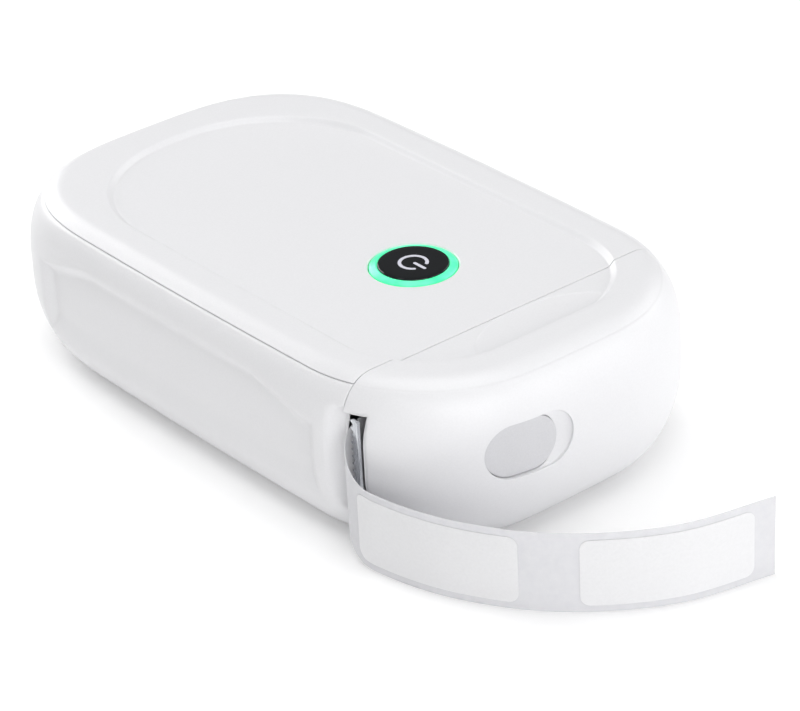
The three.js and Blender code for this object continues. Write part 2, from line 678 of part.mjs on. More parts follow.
function usbSocket() {
  const { half, y0, y1, low, tall, wall, tongue: inset } = USB;
  const shell = box(-half, half, y0, y1, low, low + tall);
  const mouth = box(-half + wall, half - wall, y0 + 1, y1 + 1, low + wall, low + tall - wall);
  const tongue = box(-half + inset, half - inset, y0 + OVERLAP, y1 - 0.8, low + inset, low + tall - inset);
  return shell.subtract(mouth).add(tongue);
}

function lightRing() {
  const inner = POWER.disc + GAP;
  const profile = [
    [inner, RING_LOW],
    [POWER.ring, RING_LOW],
    [POWER.ring, PANEL.z + 0.05],
    [POWER.ring - 0.6, PANEL.z + 0.35],
    [inner, PANEL.z + 0.4],
    [inner, RING_LOW],
  ].map(([x, y]) => new THREE.Vector2(x, y));
  const geometry = new THREE.LatheGeometry(profile, 40);
  geometry.rotateX(Math.PI / 2);
  geometry.translate(POWER.x, POWER.y, 0);
  return solid(geometry);
}

function powerButton() {
  const { low, radius, discLow } = BUTTON_POST;
  const disc = rod(POWER.x, POWER.y, discLow, POWER.top, POWER.disc, 40);
  return disc.add(rod(POWER.x, POWER.y, low, discLow + OVERLAP, radius, 12));
}

// ---------- the assembly ----------

const FINISH = {
  shell: { color: 0xf2f2f3, roughness: 0.35, metalness: 0 },
  grey: { color: 0xdcdcde, roughness: 0.4, metalness: 0 },
  black: { color: 0x16191d, roughness: 0.2, metalness: 0 },
  glow: { color: 0x3cf5a5, roughness: 0.4, metalness: 0 },
  steel: { color: 0xb9bcc0, roughness: 0.3, metalness: 1 },
  aluminium: { color: 0xc9cbce, roughness: 0.4, metalness: 1 },
  nylon: { color: 0xe9e6dc, roughness: 0.5, metalness: 0 },
  frame: { color: 0x3a3d42, roughness: 0.6, metalness: 0 },
  rubber: { color: 0x1d1e20, roughness: 0.8, metalness: 0 },
  board: { color: 0x1f5a3a, roughness: 0.5, metalness: 0 },
  chip: { color: 0x202124, roughness: 0.5, metalness: 0 },
  paper: { color: 0xf6f6f7, roughness: 0.7, metalness: 0 },
  backing: { color: 0xe4e5e9, roughness: 0.45, metalness: 0 },
  kraft: { color: 0xb9936a, roughness: 0.9, metalness: 0 },
  ceramic: { color: 0xd9d2c4, roughness: 0.3, metalness: 0 },
  cell: { color: 0x8f959c, roughness: 0.4, metalness: 0.3 },
  ribbon: { color: 0xc9762b, roughness: 0.5, metalness: 0 },
};

const labelMaker = new THREE.Group();

function place(name, body, finish) {
  const mesh = new THREE.Mesh(geometryOf(body), new THREE.MeshStandardMaterial(FINISH[finish]));
  mesh.name = name;
  labelMaker.add(mesh);
}

place("bottom_shell", bottomShell(), "shell");
place("top_shell", topShell(), "shell");
place("light_ring", lightRing(), "glow");
place("power_button", powerButton(), "black");
const { z: boardLow, halfX, halfY } = BOARD;
const boardTop = boardLow + BOARD.thick;
const board = box(-halfX, halfX, POWER.y - halfY, POWER.y + halfY, boardLow, boardTop);
place("button_board", board, "board");
const domeLow = boardTop + GAP;
place("dome_switch", rod(POWER.x, POWER.y, domeLow, domeLow + DOME.tall, DOME.radius, 16), "steel");
for (const [name, side] of [["left", -1], ["right", 1]]) {
  const x = side * RING_LED.x;
  const { half, low, high } = RING_LED;
  place(`ring_led_${name}`, box(x - half, x + half, POWER.y - half, POWER.y + half, low, high), "paper");
}

place("chassis", chassis(), "frame");
place("drive_motor", driveMotor(), "steel");
place("motor_pinion", motorPinion(), "nylon");
place("idler_gear", gear(IDLER.x, IDLER.y, IDLER_TEETH, phases().idler, 1.3), "nylon");
place("print_head", printHead(), "ceramic");
place("head_heatsink", headHeatsink(), "aluminium");
place("head_frame", headFrame(), "steel");
const { radius: pinRadius, low: pinLow, high: pinHigh } = HEAD_PIN;
place("head_pivot_pin", rod(HEAD.pivotX, HEAD.pivotY, pinLow, pinHigh, pinRadius, 12), "steel");
for (const [name, z] of [["upper", 20.5], ["lower", 13]]) {
  const { x, y0, y1, radius, wire, turns } = HEAD_SPRING;
  place(`head_spring_${name}`, coil(x, z, y0, y1, radius, wire, turns), "steel");
}
place("head_ribbon", headRibbon(), "ribbon");
const tapeTop = TAPE.low + TAPE.wide;
place("label_roll", pipe(ROLL.x, ROLL.y, TAPE.low, tapeTop, ROLL.bore, ROLL.outer, 40), "paper");
place("roll_core", pipe(ROLL.x, ROLL.y, 8.7, tapeTop + 0.2, ROLL.core, ROLL.bore - GAP, 28), "kraft");
place("inner_tape", innerTape(), "backing");
place("sensor_board", box(-14.8, -9.2, -41.6, -40.6, 4.2, 20), "board");
place("label_sensor", box(-14.5, -9.5, -43.4, -41.9, 13.5, 19), "chip");

place("battery", box(-BATTERY.x, BATTERY.x, BATTERY.y0, BATTERY.y1, BATTERY.low, BATTERY.high), "cell");
place("main_pcb", mainPcb(), "board");
const onBoard = PCB.low + PCB.thick + GAP;
place("wireless_module", box(-13, 3, 36, 50, onBoard, onBoard + 2.4), "aluminium");
place("processor", box(-5, 5, 20, 30, onBoard, onBoard + 1.1), "chip");
place("capacitor", rod(13, 30, onBoard, onBoard + 9, 3.2, 16), "aluminium");
place("battery_connector", box(9, 17, 9, 14, onBoard, onBoard + 5), "nylon");
place("head_connector", box(-19, -10, 12, 16, onBoard, onBoard + 2.6), "nylon");
place("usb_socket", usbSocket(), "steel");

CASE_SCREWS.forEach(([x, y], i) =>
  place(`case_screw_${i + 1}`, screw(x, y, CASE_POST.seat - 2, CASE_SCREW, -1), "steel"),
);
PCB_POSTS.forEach(([x, y], i) =>
  place(`pcb_screw_${i + 1}`, screw(x, y, onBoard + PCB_SCREW.tall, PCB_SCREW, 1), "steel"),
);
motorEars().forEach(([x, y], i) => {
  const top = MOTOR_SCREW.seat + MOTOR_SCREW.tall;
  place(`motor_screw_${i + 1}`, screw(x, y, top, MOTOR_SCREW, 1), "steel");
});
place("cover_hinge_pin", rod(HINGE.x, HINGE.y, 8.7, 24.8, HINGE.pin, 20), "steel");

place("cover_body", coverBody(), "shell");
place("cover_top", coverTop(), "shell");
place("cutter_blade", blade(), "steel");
place("platen_frame", platenFrame(), "frame");
place("platen_shaft", rod(PLATEN.x, PLATEN.y, 4.3, 26.4, PLATEN.shaft, 16), "steel");
place("platen_rubber", pipe(PLATEN.x, PLATEN.y, 9.1, 24.5, 1.55, PLATEN.radius, 24), "rubber");
place("platen_gear", gear(PLATEN.x, PLATEN.y, PLATEN_TEETH, phases().platen, 1.55), "nylon");
place("release_button", releaseButton(), "grey");
place("latch_slider", latchSlider(), "nylon");
const { y0: springFront, y1: springBack, radius: coilRadius, wire, turns } = RELEASE_SPRING;
const spring = coil(RELEASE.x, RELEASE.z, springFront, springBack, coilRadius, wire, turns);
place("release_spring", spring, "steel");
place("label_tape", band(0, STRIP_LENGTH, 0, TAPE.wide, -TAPE.thick / 2, TAPE.thick, 48), "backing");
place("label_1", labelBand(1), "paper");
place("label_2", labelBand(2), "paper");

export default labelMaker;
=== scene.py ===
"""Pocket label maker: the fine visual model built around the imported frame.

Lengths are in millimetres up to the point where a mesh is placed, and in metres after it.
+Z is up, -Y is the end with the swinging cover, and -X is the side that the labels leave.
"""

import json
import logging
import math
from collections.abc import Callable, Iterable, Sequence
from contextlib import contextmanager
from dataclasses import dataclass, field
from enum import Enum

import bmesh
import bpy
import numpy as np
from mathutils import Matrix, Vector

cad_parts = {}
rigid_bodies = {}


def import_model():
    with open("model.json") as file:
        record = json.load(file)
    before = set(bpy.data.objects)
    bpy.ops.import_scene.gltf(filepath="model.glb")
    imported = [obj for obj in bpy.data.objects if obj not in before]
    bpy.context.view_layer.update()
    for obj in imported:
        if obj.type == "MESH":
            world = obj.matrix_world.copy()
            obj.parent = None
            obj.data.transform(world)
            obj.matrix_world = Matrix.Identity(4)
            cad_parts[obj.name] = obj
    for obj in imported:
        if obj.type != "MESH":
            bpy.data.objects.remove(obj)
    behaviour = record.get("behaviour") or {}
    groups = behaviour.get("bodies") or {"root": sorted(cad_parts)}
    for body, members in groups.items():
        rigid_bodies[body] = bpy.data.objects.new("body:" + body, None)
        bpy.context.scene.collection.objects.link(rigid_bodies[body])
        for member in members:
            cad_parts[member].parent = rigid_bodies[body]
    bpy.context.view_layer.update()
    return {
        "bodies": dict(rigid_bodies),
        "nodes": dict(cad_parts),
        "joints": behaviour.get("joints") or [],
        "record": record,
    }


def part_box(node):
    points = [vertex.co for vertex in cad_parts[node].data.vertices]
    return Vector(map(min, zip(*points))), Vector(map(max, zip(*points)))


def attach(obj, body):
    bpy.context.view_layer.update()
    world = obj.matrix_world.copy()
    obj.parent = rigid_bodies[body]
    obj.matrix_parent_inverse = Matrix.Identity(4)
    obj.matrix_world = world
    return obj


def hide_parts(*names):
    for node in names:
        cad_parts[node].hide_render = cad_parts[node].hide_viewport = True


LOG = logging.getLogger("label_maker")
MM = 0.001
MERGE = 0.0005  # how close two points are for them to be one
COAT_ROUGH = 0.2
PAPER_DEPTH = 0.5  # how far light travels inside paper
BEVEL_ANGLE = 0.9  # radians: sharper edges than this are rounded
RING_SCALE = 0.314  # a wave texture's scale for one ring per unit of length


# ---------- colour and nodes ----------


def linear(code: str) -> tuple[float, float, float, float]:
    """Turns an sRGB hex colour to the linear one that shaders take.

    Args:
        code: six hex digits after a #.

    Returns:
        Red, green, blue and an alpha of 1.
    """
    parts = [int(code[i : i + 2], 16) / 255 for i in (1, 3, 5)]
    return (*[p / 12.92 if p <= 0.04045 else ((p + 0.055) / 1.055) ** 2.4 for p in parts], 1.0)


def add_node(
    tree: bpy.types.NodeTree,
    kind: str,
    values: dict | None = None,
    links: dict | None = None,
    **settings: object,
) -> bpy.types.Node:
    """Adds a node with its settings, input values and links.

    Args:
        tree: the material's or world's node tree.
        kind: the node's type.
        values: input name or number to its value.
        links: input name or number to the output that feeds it.
        **settings: the node's own properties.

    Returns:
        The new node.
    """
    node = tree.nodes.new(kind)
    for key, value in settings.items():
        setattr(node, key, value)
    for key, value in (values or {}).items():
        node.inputs[key].default_value = value
    for key, output in (links or {}).items():
        tree.links.new(output, node.inputs[key])
    return node


# ---------- finishes ----------


@dataclass(frozen=True)
class Finish:
    """A surface: what it is made of, how it was made, and what that gives the eye.

    The base pattern is an even grain, as spark-eroded moulds leave on plastic.
    """

    name: str
    colour: str
    shade: str
    rough: tuple[float, float]
    grain: float = 0.5
    relief: float = 0.01
    metallic: float = 0.0
    ior: float = 1.5
    coat: float = 0.0
    glow: float = 0.0
    through: float = 0.0
    stretch: tuple[float, float, float] = (1.0, 1.0, 1.0)

    def pattern(self, tree: bpy.types.NodeTree) -> bpy.types.NodeSocket:
        """Noise on the piece's own coordinates, one feature per grain length."""
        place = add_node(tree, "ShaderNodeTexCoord").outputs["Object"]
        mapped = add_node(tree, "ShaderNodeMapping", {"Scale": self.stretch}, {"Vector": place})
        scale = 1 / (self.grain * MM)
        noise = add_node(
            tree,
            "ShaderNodeTexNoise",
            {"Scale": scale, "Detail": 3.0, "Roughness": 0.55},
            {"Vector": mapped.outputs[0]},
        )
        return noise.outputs[0]

    def build(self) -> bpy.types.Material:
        """Makes the material: the pattern drives colour, roughness and relief."""
        made = bpy.data.materials.new(self.name)
        made.use_nodes = True
        tree = made.node_tree
        shader = tree.nodes["Principled BSDF"]
        height = self.pattern(tree)
        ramp = add_node(tree, "ShaderNodeValToRGB", links={"Fac": height})
        ramp.color_ramp.elements[0].position = 0.3
        ramp.color_ramp.elements[1].position = 0.7
        ramp.color_ramp.elements[0].color = linear(self.shade)
        ramp.color_ramp.elements[1].color = linear(self.colour)
        low, high = self.rough
        rough = add_node(
            tree, "ShaderNodeMapRange", {"To Min": low, "To Max": high}, {"Value": height}
        )
        bump = add_node(
            tree,
            "ShaderNodeBump",
            {"Strength": 1.0, "Distance": self.relief * MM},
            {"Height": height},
        )
        tree.links.new(ramp.outputs["Color"], shader.inputs["Base Color"])
        tree.links.new(rough.outputs["Result"], shader.inputs["Roughness"])
        tree.links.new(bump.outputs["Normal"], shader.inputs["Normal"])
        shader.inputs["Metallic"].default_value = self.metallic
        if not self.metallic:
            shader.inputs["IOR"].default_value = self.ior
        shader.inputs["Coat Weight"].default_value = self.coat
        shader.inputs["Coat Roughness"].default_value = COAT_ROUGH
        if self.through:
            shader.inputs["Subsurface Weight"].default_value = self.through
            shader.inputs["Subsurface Radius"].default_value = (1.0, 1.0, 1.0)
            shader.inputs["Subsurface Scale"].default_value = PAPER_DEPTH * MM
        if self.glow:
            tree.links.new(ramp.outputs["Color"], shader.inputs["Emission Color"])
            shader.inputs["Emission Strength"].default_value = self.glow
        return made


@dataclass(frozen=True)
class Wound(Finish):
    """Paper or board wound round an upright axis: fine rings seen from above."""

    centre: tuple[float, float] = (0.0, 0.0)

    def pattern(self, tree: bpy.types.NodeTree) -> bpy.types.NodeSocket:
        """Even rings round the axis, one per grain length."""
        place = add_node(tree, "ShaderNodeTexCoord").outputs["Object"]
        back = (-self.centre[0] * MM, -self.centre[1] * MM, 0.0)
        mapped = add_node(tree, "ShaderNodeMapping", {"Location": back}, {"Vector": place})
        wave = add_node(
            tree,
            "ShaderNodeTexWave",
            {
                "Scale": RING_SCALE / (self.grain * MM),
                "Distortion": 0.0,
                "Detail": 0.0,
            },
            {"Vector": mapped.outputs[0]},
            wave_type="RINGS",
            rings_direction="Z",
        )
        return wave.outputs[1]


@dataclass(frozen=True)
class Etched(Finish):
    """Copper tracks under solder mask: thin raised lines between round-cornered fields."""

    def pattern(self, tree: bpy.types.NodeTree) -> bpy.types.NodeSocket:
        """Bricks whose joints stand for the tracks, one per grain length."""
        place = add_node(tree, "ShaderNodeTexCoord").outputs["Object"]
        mapped = add_node(
            tree, "ShaderNodeMapping", {"Rotation": (0.0, 0.0, math.radians(90))}, {"Vector": place}
        )
        brick = add_node(
            tree,
            "ShaderNodeTexBrick",
            {
                "Scale": 1 / (self.grain * MM),
                "Mortar Size": 0.06,
                "Mortar Smooth": 0.3,
                "Brick Width": 2.2,
                "Row Height": 0.5,
            },
            {"Vector": mapped.outputs[0]},
            offset=0.37,
            squash=0.6,
            squash_frequency=3,
        )
        return brick.outputs[1]


# Injection-moulded ABS from a finely eroded mould: an even satin white with a soft sheen.
# The real grain is about 0.05 mm, too fine to show, so it is drawn at 0.35 mm.
SHELL = Finish("moulded_abs_white", "#E7E7E9", "#E4E4E6", (0.3, 0.4), 0.35, 0.0012, ior=1.52)
# The same plastic in light grey from a rougher mould, so it is duller.
BUTTON = Finish("moulded_abs_grey", "#D3D3D6", "#CECED1", (0.42, 0.52), 0.3, 0.003)
# Back-printed acrylic: deep black with a hard gloss.
ACRYLIC = Finish("polished_acrylic_black", "#101317", "#0C0F12", (0.05, 0.08), 2.0, 0.0003, ior=1.49)
# Screen ink under the acrylic's hard coat: pale and dull.
INK = Finish("screen_ink_pale", "#DADAE4", "#CDCDDA", (0.4, 0.5), 0.2, 0.002)
# Moulded diffuser lit from below by two green lamps: it glows, in soft uneven patches.
GUIDE = Finish("moulded_diffuser_green", "#6CF7C0", "#2CE896", (0.25, 0.35), 5.0, 0.001, glow=0.4)
# Stamped spring steel, ground along its length: fine bright streaks.
STEEL = Finish(
    "ground_steel", "#D6D8DC", "#A9ACB2", (0.18, 0.36), 0.25, 0.002, 1.0, stretch=(1.0, 1.0, 0.05)
)
# Zinc-plated steel, as screws and small stampings have: a bright, slightly cloudy skin.
ZINC = Finish("zinc_plated_steel", "#CDD0D4", "#B4B8BE", (0.25, 0.42), 0.8, 0.002, 1.0)
# Mill-finish aluminium sheet, rolled along Y: soft grey streaks.
ALUMINIUM = Finish(
    "rolled_aluminium", "#D3D5D8", "#BDC0C4", (0.32, 0.5), 0.3, 0.003, 1.0, stretch=(1.0, 0.08, 1.0)
)
# Natural acetal, moulded: milky, waxy and slightly yellow.
ACETAL = Finish("moulded_acetal", "#E9E5DA", "#E1DCCE", (0.35, 0.48), 0.9, 0.002)
# Grey ABS from a coarse mould, for the inner frame: plainly matt.
FRAME = Finish("moulded_abs_dark", "#44474D", "#3A3D42", (0.5, 0.65), 0.5, 0.01)
# Ground silicone rubber: dead matt with fine grinding marks round it.
RUBBER = Finish(
    "ground_rubber", "#24262A", "#1B1C1F", (0.7, 0.85), 0.25, 0.012, stretch=(1.0, 1.0, 3.0)
)
# Solder mask over etched copper: green, glossy, with darker fields between raised tracks.
BOARD = Etched("etched_board_green", "#15603A", "#2A8050", (0.25, 0.4), 1.6, 0.02)
# Moulded epoxy: fine dark grit, nearly matt.
CHIP = Finish("moulded_epoxy_black", "#26282C", "#1D1F22", (0.5, 0.65), 0.25, 0.006)
# Coated thermal paper: a smooth clean white with a trace of fibre.
PAPER = Finish("coated_label_paper", "#ECECEE", "#E8E8EA", (0.42, 0.52), 0.5, 0.003, through=0.3)
# Glassine release liner: calendered hard, slightly grey and glossier than the labels.
LINER = Finish("glassine_liner", "#D2D2D5", "#CDCDD1", (0.3, 0.42), 1.4, 0.004, through=0.5)
# Glazed alumina: hard pale cream, smooth.
CERAMIC = Finish("glazed_alumina", "#DDD6C8", "#D4CCBC", (0.15, 0.25), 3.0, 0.001, coat=0.5)
# Laminated pouch foil: dull silver with soft dents.
FOIL = Finish("laminated_foil", "#9EA4AB", "#868C94", (0.3, 0.5), 4.0, 0.12, 0.85)
# Polyimide film with copper tracks along it: amber with darker lines.
FILM = Finish(
    "polyimide_film", "#C9762B", "#96501A", (0.25, 0.4), 0.5, 0.01, stretch=(1.0, 0.02, 1.0)
)


# ---------- modelling helpers ----------


def deselect() -> None:
    """Leaves edit mode and deselects every object."""
    if bpy.context.object and bpy.context.object.mode != "OBJECT":
        bpy.ops.object.mode_set(mode="OBJECT")
    bpy.ops.object.select_all(action="DESELECT")


@contextmanager
def editing(piece: bpy.types.Object, whole: bool = True) -> Iterable[bmesh.types.BMesh]:
    """Edit mode on one piece alone.

    Args:
        piece: the mesh to edit.
        whole: whether everything is selected at the start, or nothing.

    Yields:
        The edit mesh, for selecting by place or normal.
    """
    deselect()
    piece.select_set(True)
    bpy.context.view_layer.objects.active = piece
    bpy.ops.object.mode_set(mode="EDIT")
    bpy.ops.mesh.select_mode(type="VERT")
    bpy.ops.mesh.select_all(action="SELECT" if whole else "DESELECT")
    yield bmesh.from_edit_mesh(piece.data)
    bpy.ops.object.mode_set(mode="OBJECT")


def modify(piece: bpy.types.Object, kind: str, **settings: object) -> bpy.types.Object:
    """Adds a modifier, sets it up and applies it.

    Args:
        piece: the mesh to change.
        kind: the modifier's type.
        **settings: its own properties.

    Returns:
        The same piece.
    """
    deselect()
    piece.select_set(True)
    bpy.context.view_layer.objects.active = piece
    modifier = piece.modifiers.new(kind.lower(), kind)
    for key, value in settings.items():
        setattr(modifier, key, value)
    bpy.ops.object.modifier_apply(modifier=modifier.name)
    return piece


def rounded(piece: bpy.types.Object, soft: float) -> bpy.types.Object:
    """Rounds every sharp edge of a piece by soft millimetres.

    Args:
        piece: the mesh to change.
        soft: the width of the rounding.

    Returns:
        The same piece.
    """
    return modify(
        piece, "BEVEL", width=soft * MM, segments=3, limit_method="ANGLE", angle_limit=BEVEL_ANGLE
    )


def smooth(piece: bpy.types.Object, degrees: float = 30.0) -> bpy.types.Object:
    """Shades smoothly across edges flatter than an angle.

    Args:
        piece: the mesh to shade.
        degrees: the angle.

    Returns:
        The same piece.
    """
    deselect()
    piece.select_set(True)
    bpy.context.view_layer.objects.active = piece
    bpy.ops.object.shade_smooth_by_angle(angle=math.radians(degrees))
    return piece


def join(pieces: Sequence[bpy.types.Object], name: str) -> bpy.types.Object:
    """Joins separate pieces into one object.

    Args:
        pieces: the meshes to join.
        name: the name of the whole.

    Returns:
        The first piece, which now holds them all.
    """
    deselect()
    for piece in pieces:
        piece.select_set(True)
    bpy.context.view_layer.objects.active = pieces[0]
    if len(pieces) > 1:
        bpy.ops.object.join()
    pieces[0].name = name
    return pieces[0]


def combine(piece: bpy.types.Object, tools: Sequence[bpy.types.Object], how: str) -> None:
    """Cuts tools out of a piece, or adds them to it, and removes them.

    Args:
        piece: the mesh that is changed.
        tools: closed meshes that don't touch each other.
        how: DIFFERENCE or UNION.
    """
    tool = join(list(tools), "tool")
    modify(piece, "BOOLEAN", operation=how, object=tool, solver="EXACT")
    bpy.data.objects.remove(tool)


def outward(piece: bpy.types.Object) -> bpy.types.Object:
    """Merges doubles, closes what is open and turns all faces outwards.

    Args:
        piece: the mesh to change.

    Returns:
        The same piece.
    """
    with editing(piece):
        bpy.ops.mesh.remove_doubles(threshold=MERGE * MM)
        bpy.ops.mesh.fill_holes(sides=0)
        bpy.ops.mesh.select_all(action="SELECT")
        bpy.ops.mesh.normals_make_consistent(inside=False)
    return piece


def draped(name: str, rows: np.ndarray) -> bpy.types.Object:
    """A grid whose points are laid on rows of points.

    Args:
        name: the new object's name.
        rows: row by column by x, y and z, in millimetres.

    Returns:
        The grid as an object at the origin.
    """
    deselect()
    bpy.ops.mesh.primitive_grid_add(
        x_subdivisions=rows.shape[1] - 1, y_subdivisions=rows.shape[0] - 1, size=1
    )
    grid = bpy.context.object
    grid.name = name
    grid.data.vertices.foreach_set("co", (rows * MM).astype(np.float32).ravel())
    grid.data.update()
    return grid


def extruded(
    name: str, outline: np.ndarray, low: float, high: float, soft: float = 0.0
) -> bpy.types.Object:
    """An outline in X and Y, filled and extruded up from low to high.

    Args:
        name: the new object's name.
        outline: points round the outline, in millimetres.
        low: the lower face's height.
        high: the upper face's height.
        soft: the width of the rounded edge at both faces.

    Returns:
        The closed prism.
    """
    deselect()
    bpy.ops.mesh.primitive_circle_add(vertices=len(outline), fill_type="NGON")
    piece = bpy.context.object
    piece.name = name
    flat = np.column_stack([outline, np.full(len(outline), low)])
    piece.data.vertices.foreach_set("co", (flat * MM).astype(np.float32).ravel())
    with editing(piece):
        bpy.ops.mesh.extrude_region_move(TRANSFORM_OT_translate={"value": (0, 0, (high - low) * MM)})
        bpy.ops.mesh.select_all(action="SELECT")
        bpy.ops.mesh.normals_make_consistent(inside=False)
    if soft:
        rounded(piece, soft)
    return piece


def spun(
    name: str, section: Sequence[tuple[float, float]], x: float, y: float, steps: int = 96
) -> bpy.types.Object:
    """A closed section, as radius and height, spun about the upright line through x, y.

    Args:
        name: the new object's name.
        section: points as radius and height, in millimetres.
        x: the axis's x.
        y: the axis's y.
        steps: how many steps make the full turn.

    Returns:
        The closed body.
    """
    deselect()
    bpy.ops.mesh.primitive_circle_add(vertices=len(section), fill_type="NOTHING")
    piece = bpy.context.object
    piece.name = name
    points = np.array([(x + radius, y, height) for radius, height in section])
    piece.data.vertices.foreach_set("co", (points * MM).astype(np.float32).ravel())
    with editing(piece):
        bpy.ops.mesh.spin(
            steps=steps, angle=2 * math.pi, center=(x * MM, y * MM, 0), axis=(0, 0, 1)
        )
        bpy.ops.mesh.select_all(action="SELECT")
        bpy.ops.mesh.remove_doubles(threshold=MERGE * MM)
        bpy.ops.mesh.normals_make_consistent(inside=False)
    return piece


def block(
    name: str, low: Sequence[float], high: Sequence[float], soft: float = 0.0
) -> bpy.types.Object:
    """A cube between two corners in millimetres, with its edges rounded by soft.

    Args:
        name: the new object's name.
        low: the lowest corner.
        high: the highest corner.
        soft: the width of the rounding.

    Returns:
        The closed block.
    """
    deselect()
    bpy.ops.mesh.primitive_cube_add(size=1)
    piece = bpy.context.object
    piece.name = name
    middle = (Vector(low) + Vector(high)) / 2 * MM
    size = (Vector(high) - Vector(low)) * MM
    piece.data.transform(Matrix.Translation(middle) @ Matrix.Diagonal((*size, 1)))
    if soft:
        rounded(piece, soft)
    return piece


def turned_to_front(piece: bpy.types.Object) -> bpy.types.Object:
    """Turns a prism so that its height, z, points to the front, -Y, and its y points up."""
    piece.data.transform(Matrix(((1, 0, 0, 0), (0, 0, -1, 0), (0, 1, 0, 0), (0, 0, 0, 1))))
    return piece


def rounded_box_outline(
    half_x: float, low_y: float, high_y: float, front: float, back: float, steps: int = 24
) -> np.ndarray:
    """A rectangle centred on x 0 with its own corner radius at each end, counter-clockwise.

    Args:
        half_x: half its width.
        low_y: its front end.
        high_y: its back end.
        front: the radius of the front corners.
        back: the radius of the back corners.
        steps: points on each corner.

    Returns:
        The points.
    """
    corners = [
        (half_x - front, low_y + front, front, -90),
        (half_x - back, high_y - back, back, 0),
        (back - half_x, high_y - back, back, 90),
        (front - half_x, low_y + front, front, 180),
    ]
    points = []
    for x, y, radius, start in corners:
        for turn in np.radians(np.linspace(start, start + 90, steps)):
            points.append((x + radius * math.cos(turn), y + radius * math.sin(turn)))
    return np.array(points)


def stadium_outline(
    x: float, y: float, half: float, radius: float, steps: int = 24, between: int = 0
) -> np.ndarray:
    """A stadium along x about a centre, counter-clockwise.

    Args:
        x: the centre's x.
        y: the centre's y.
        half: half its length.
        radius: half its width.
        steps: points on each round end.
        between: points on each straight side, apart from its ends.

    Returns:
        The points.
    """
    points = []
    for side, start in ((1, -90), (-1, 90)):
        for turn in np.radians(np.linspace(start, start + 180, steps)):
            across = side * (half - radius) + radius * math.cos(turn)
            points.append((x + across, y + radius * math.sin(turn)))
        for across in np.linspace(side, -side, between + 2)[1:-1] * (half - radius):
            points.append((x + across, y + side * radius))
    return np.array(points)


def limits(node: str) -> tuple[Vector, Vector]:
    """A node's lowest and highest corners in millimetres."""
    low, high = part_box(node)
    return low / MM, high / MM


def ease(value: np.ndarray) -> np.ndarray:
    """Smoothly from 0 to 1 as the value goes from 0 to 1."""
    clipped = np.clip(value, 0, 1)
    return clipped * clipped * (3 - 2 * clipped)


def dress(
    piece: bpy.types.Object,
    finish: Finish,
    body: str,
    replaced: Sequence[str] = (),
) -> bpy.types.Object:
    """Gives a finished piece its material and body, and hides what it stands for.

    Args:
        piece: the finished mesh.
        finish: what it is made of.
        body: the body that it moves with.
        replaced: the CAD nodes that it stands for.

    Returns:
        The same piece.
    """
    piece.data.materials.clear()
    piece.data.materials.append(material(finish))
    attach(piece, body)
    if replaced:
        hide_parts(*replaced)
    LOG.info("%s on %s: %d faces", piece.name, body, len(piece.data.polygons))
    return piece


_made: dict[str, bpy.types.Material] = {}


def material(finish: Finish) -> bpy.types.Material:
    """The finish's material, made the first time that it is asked for."""
    if finish.name not in _made:
        _made[finish.name] = finish.build()
    return _made[finish.name]


# ---------- the case's form ----------


class Side(Enum):
    """Which part of the case a shell belongs to, by the sign of y away from the seam."""

    CASE = 1
    COVER = -1


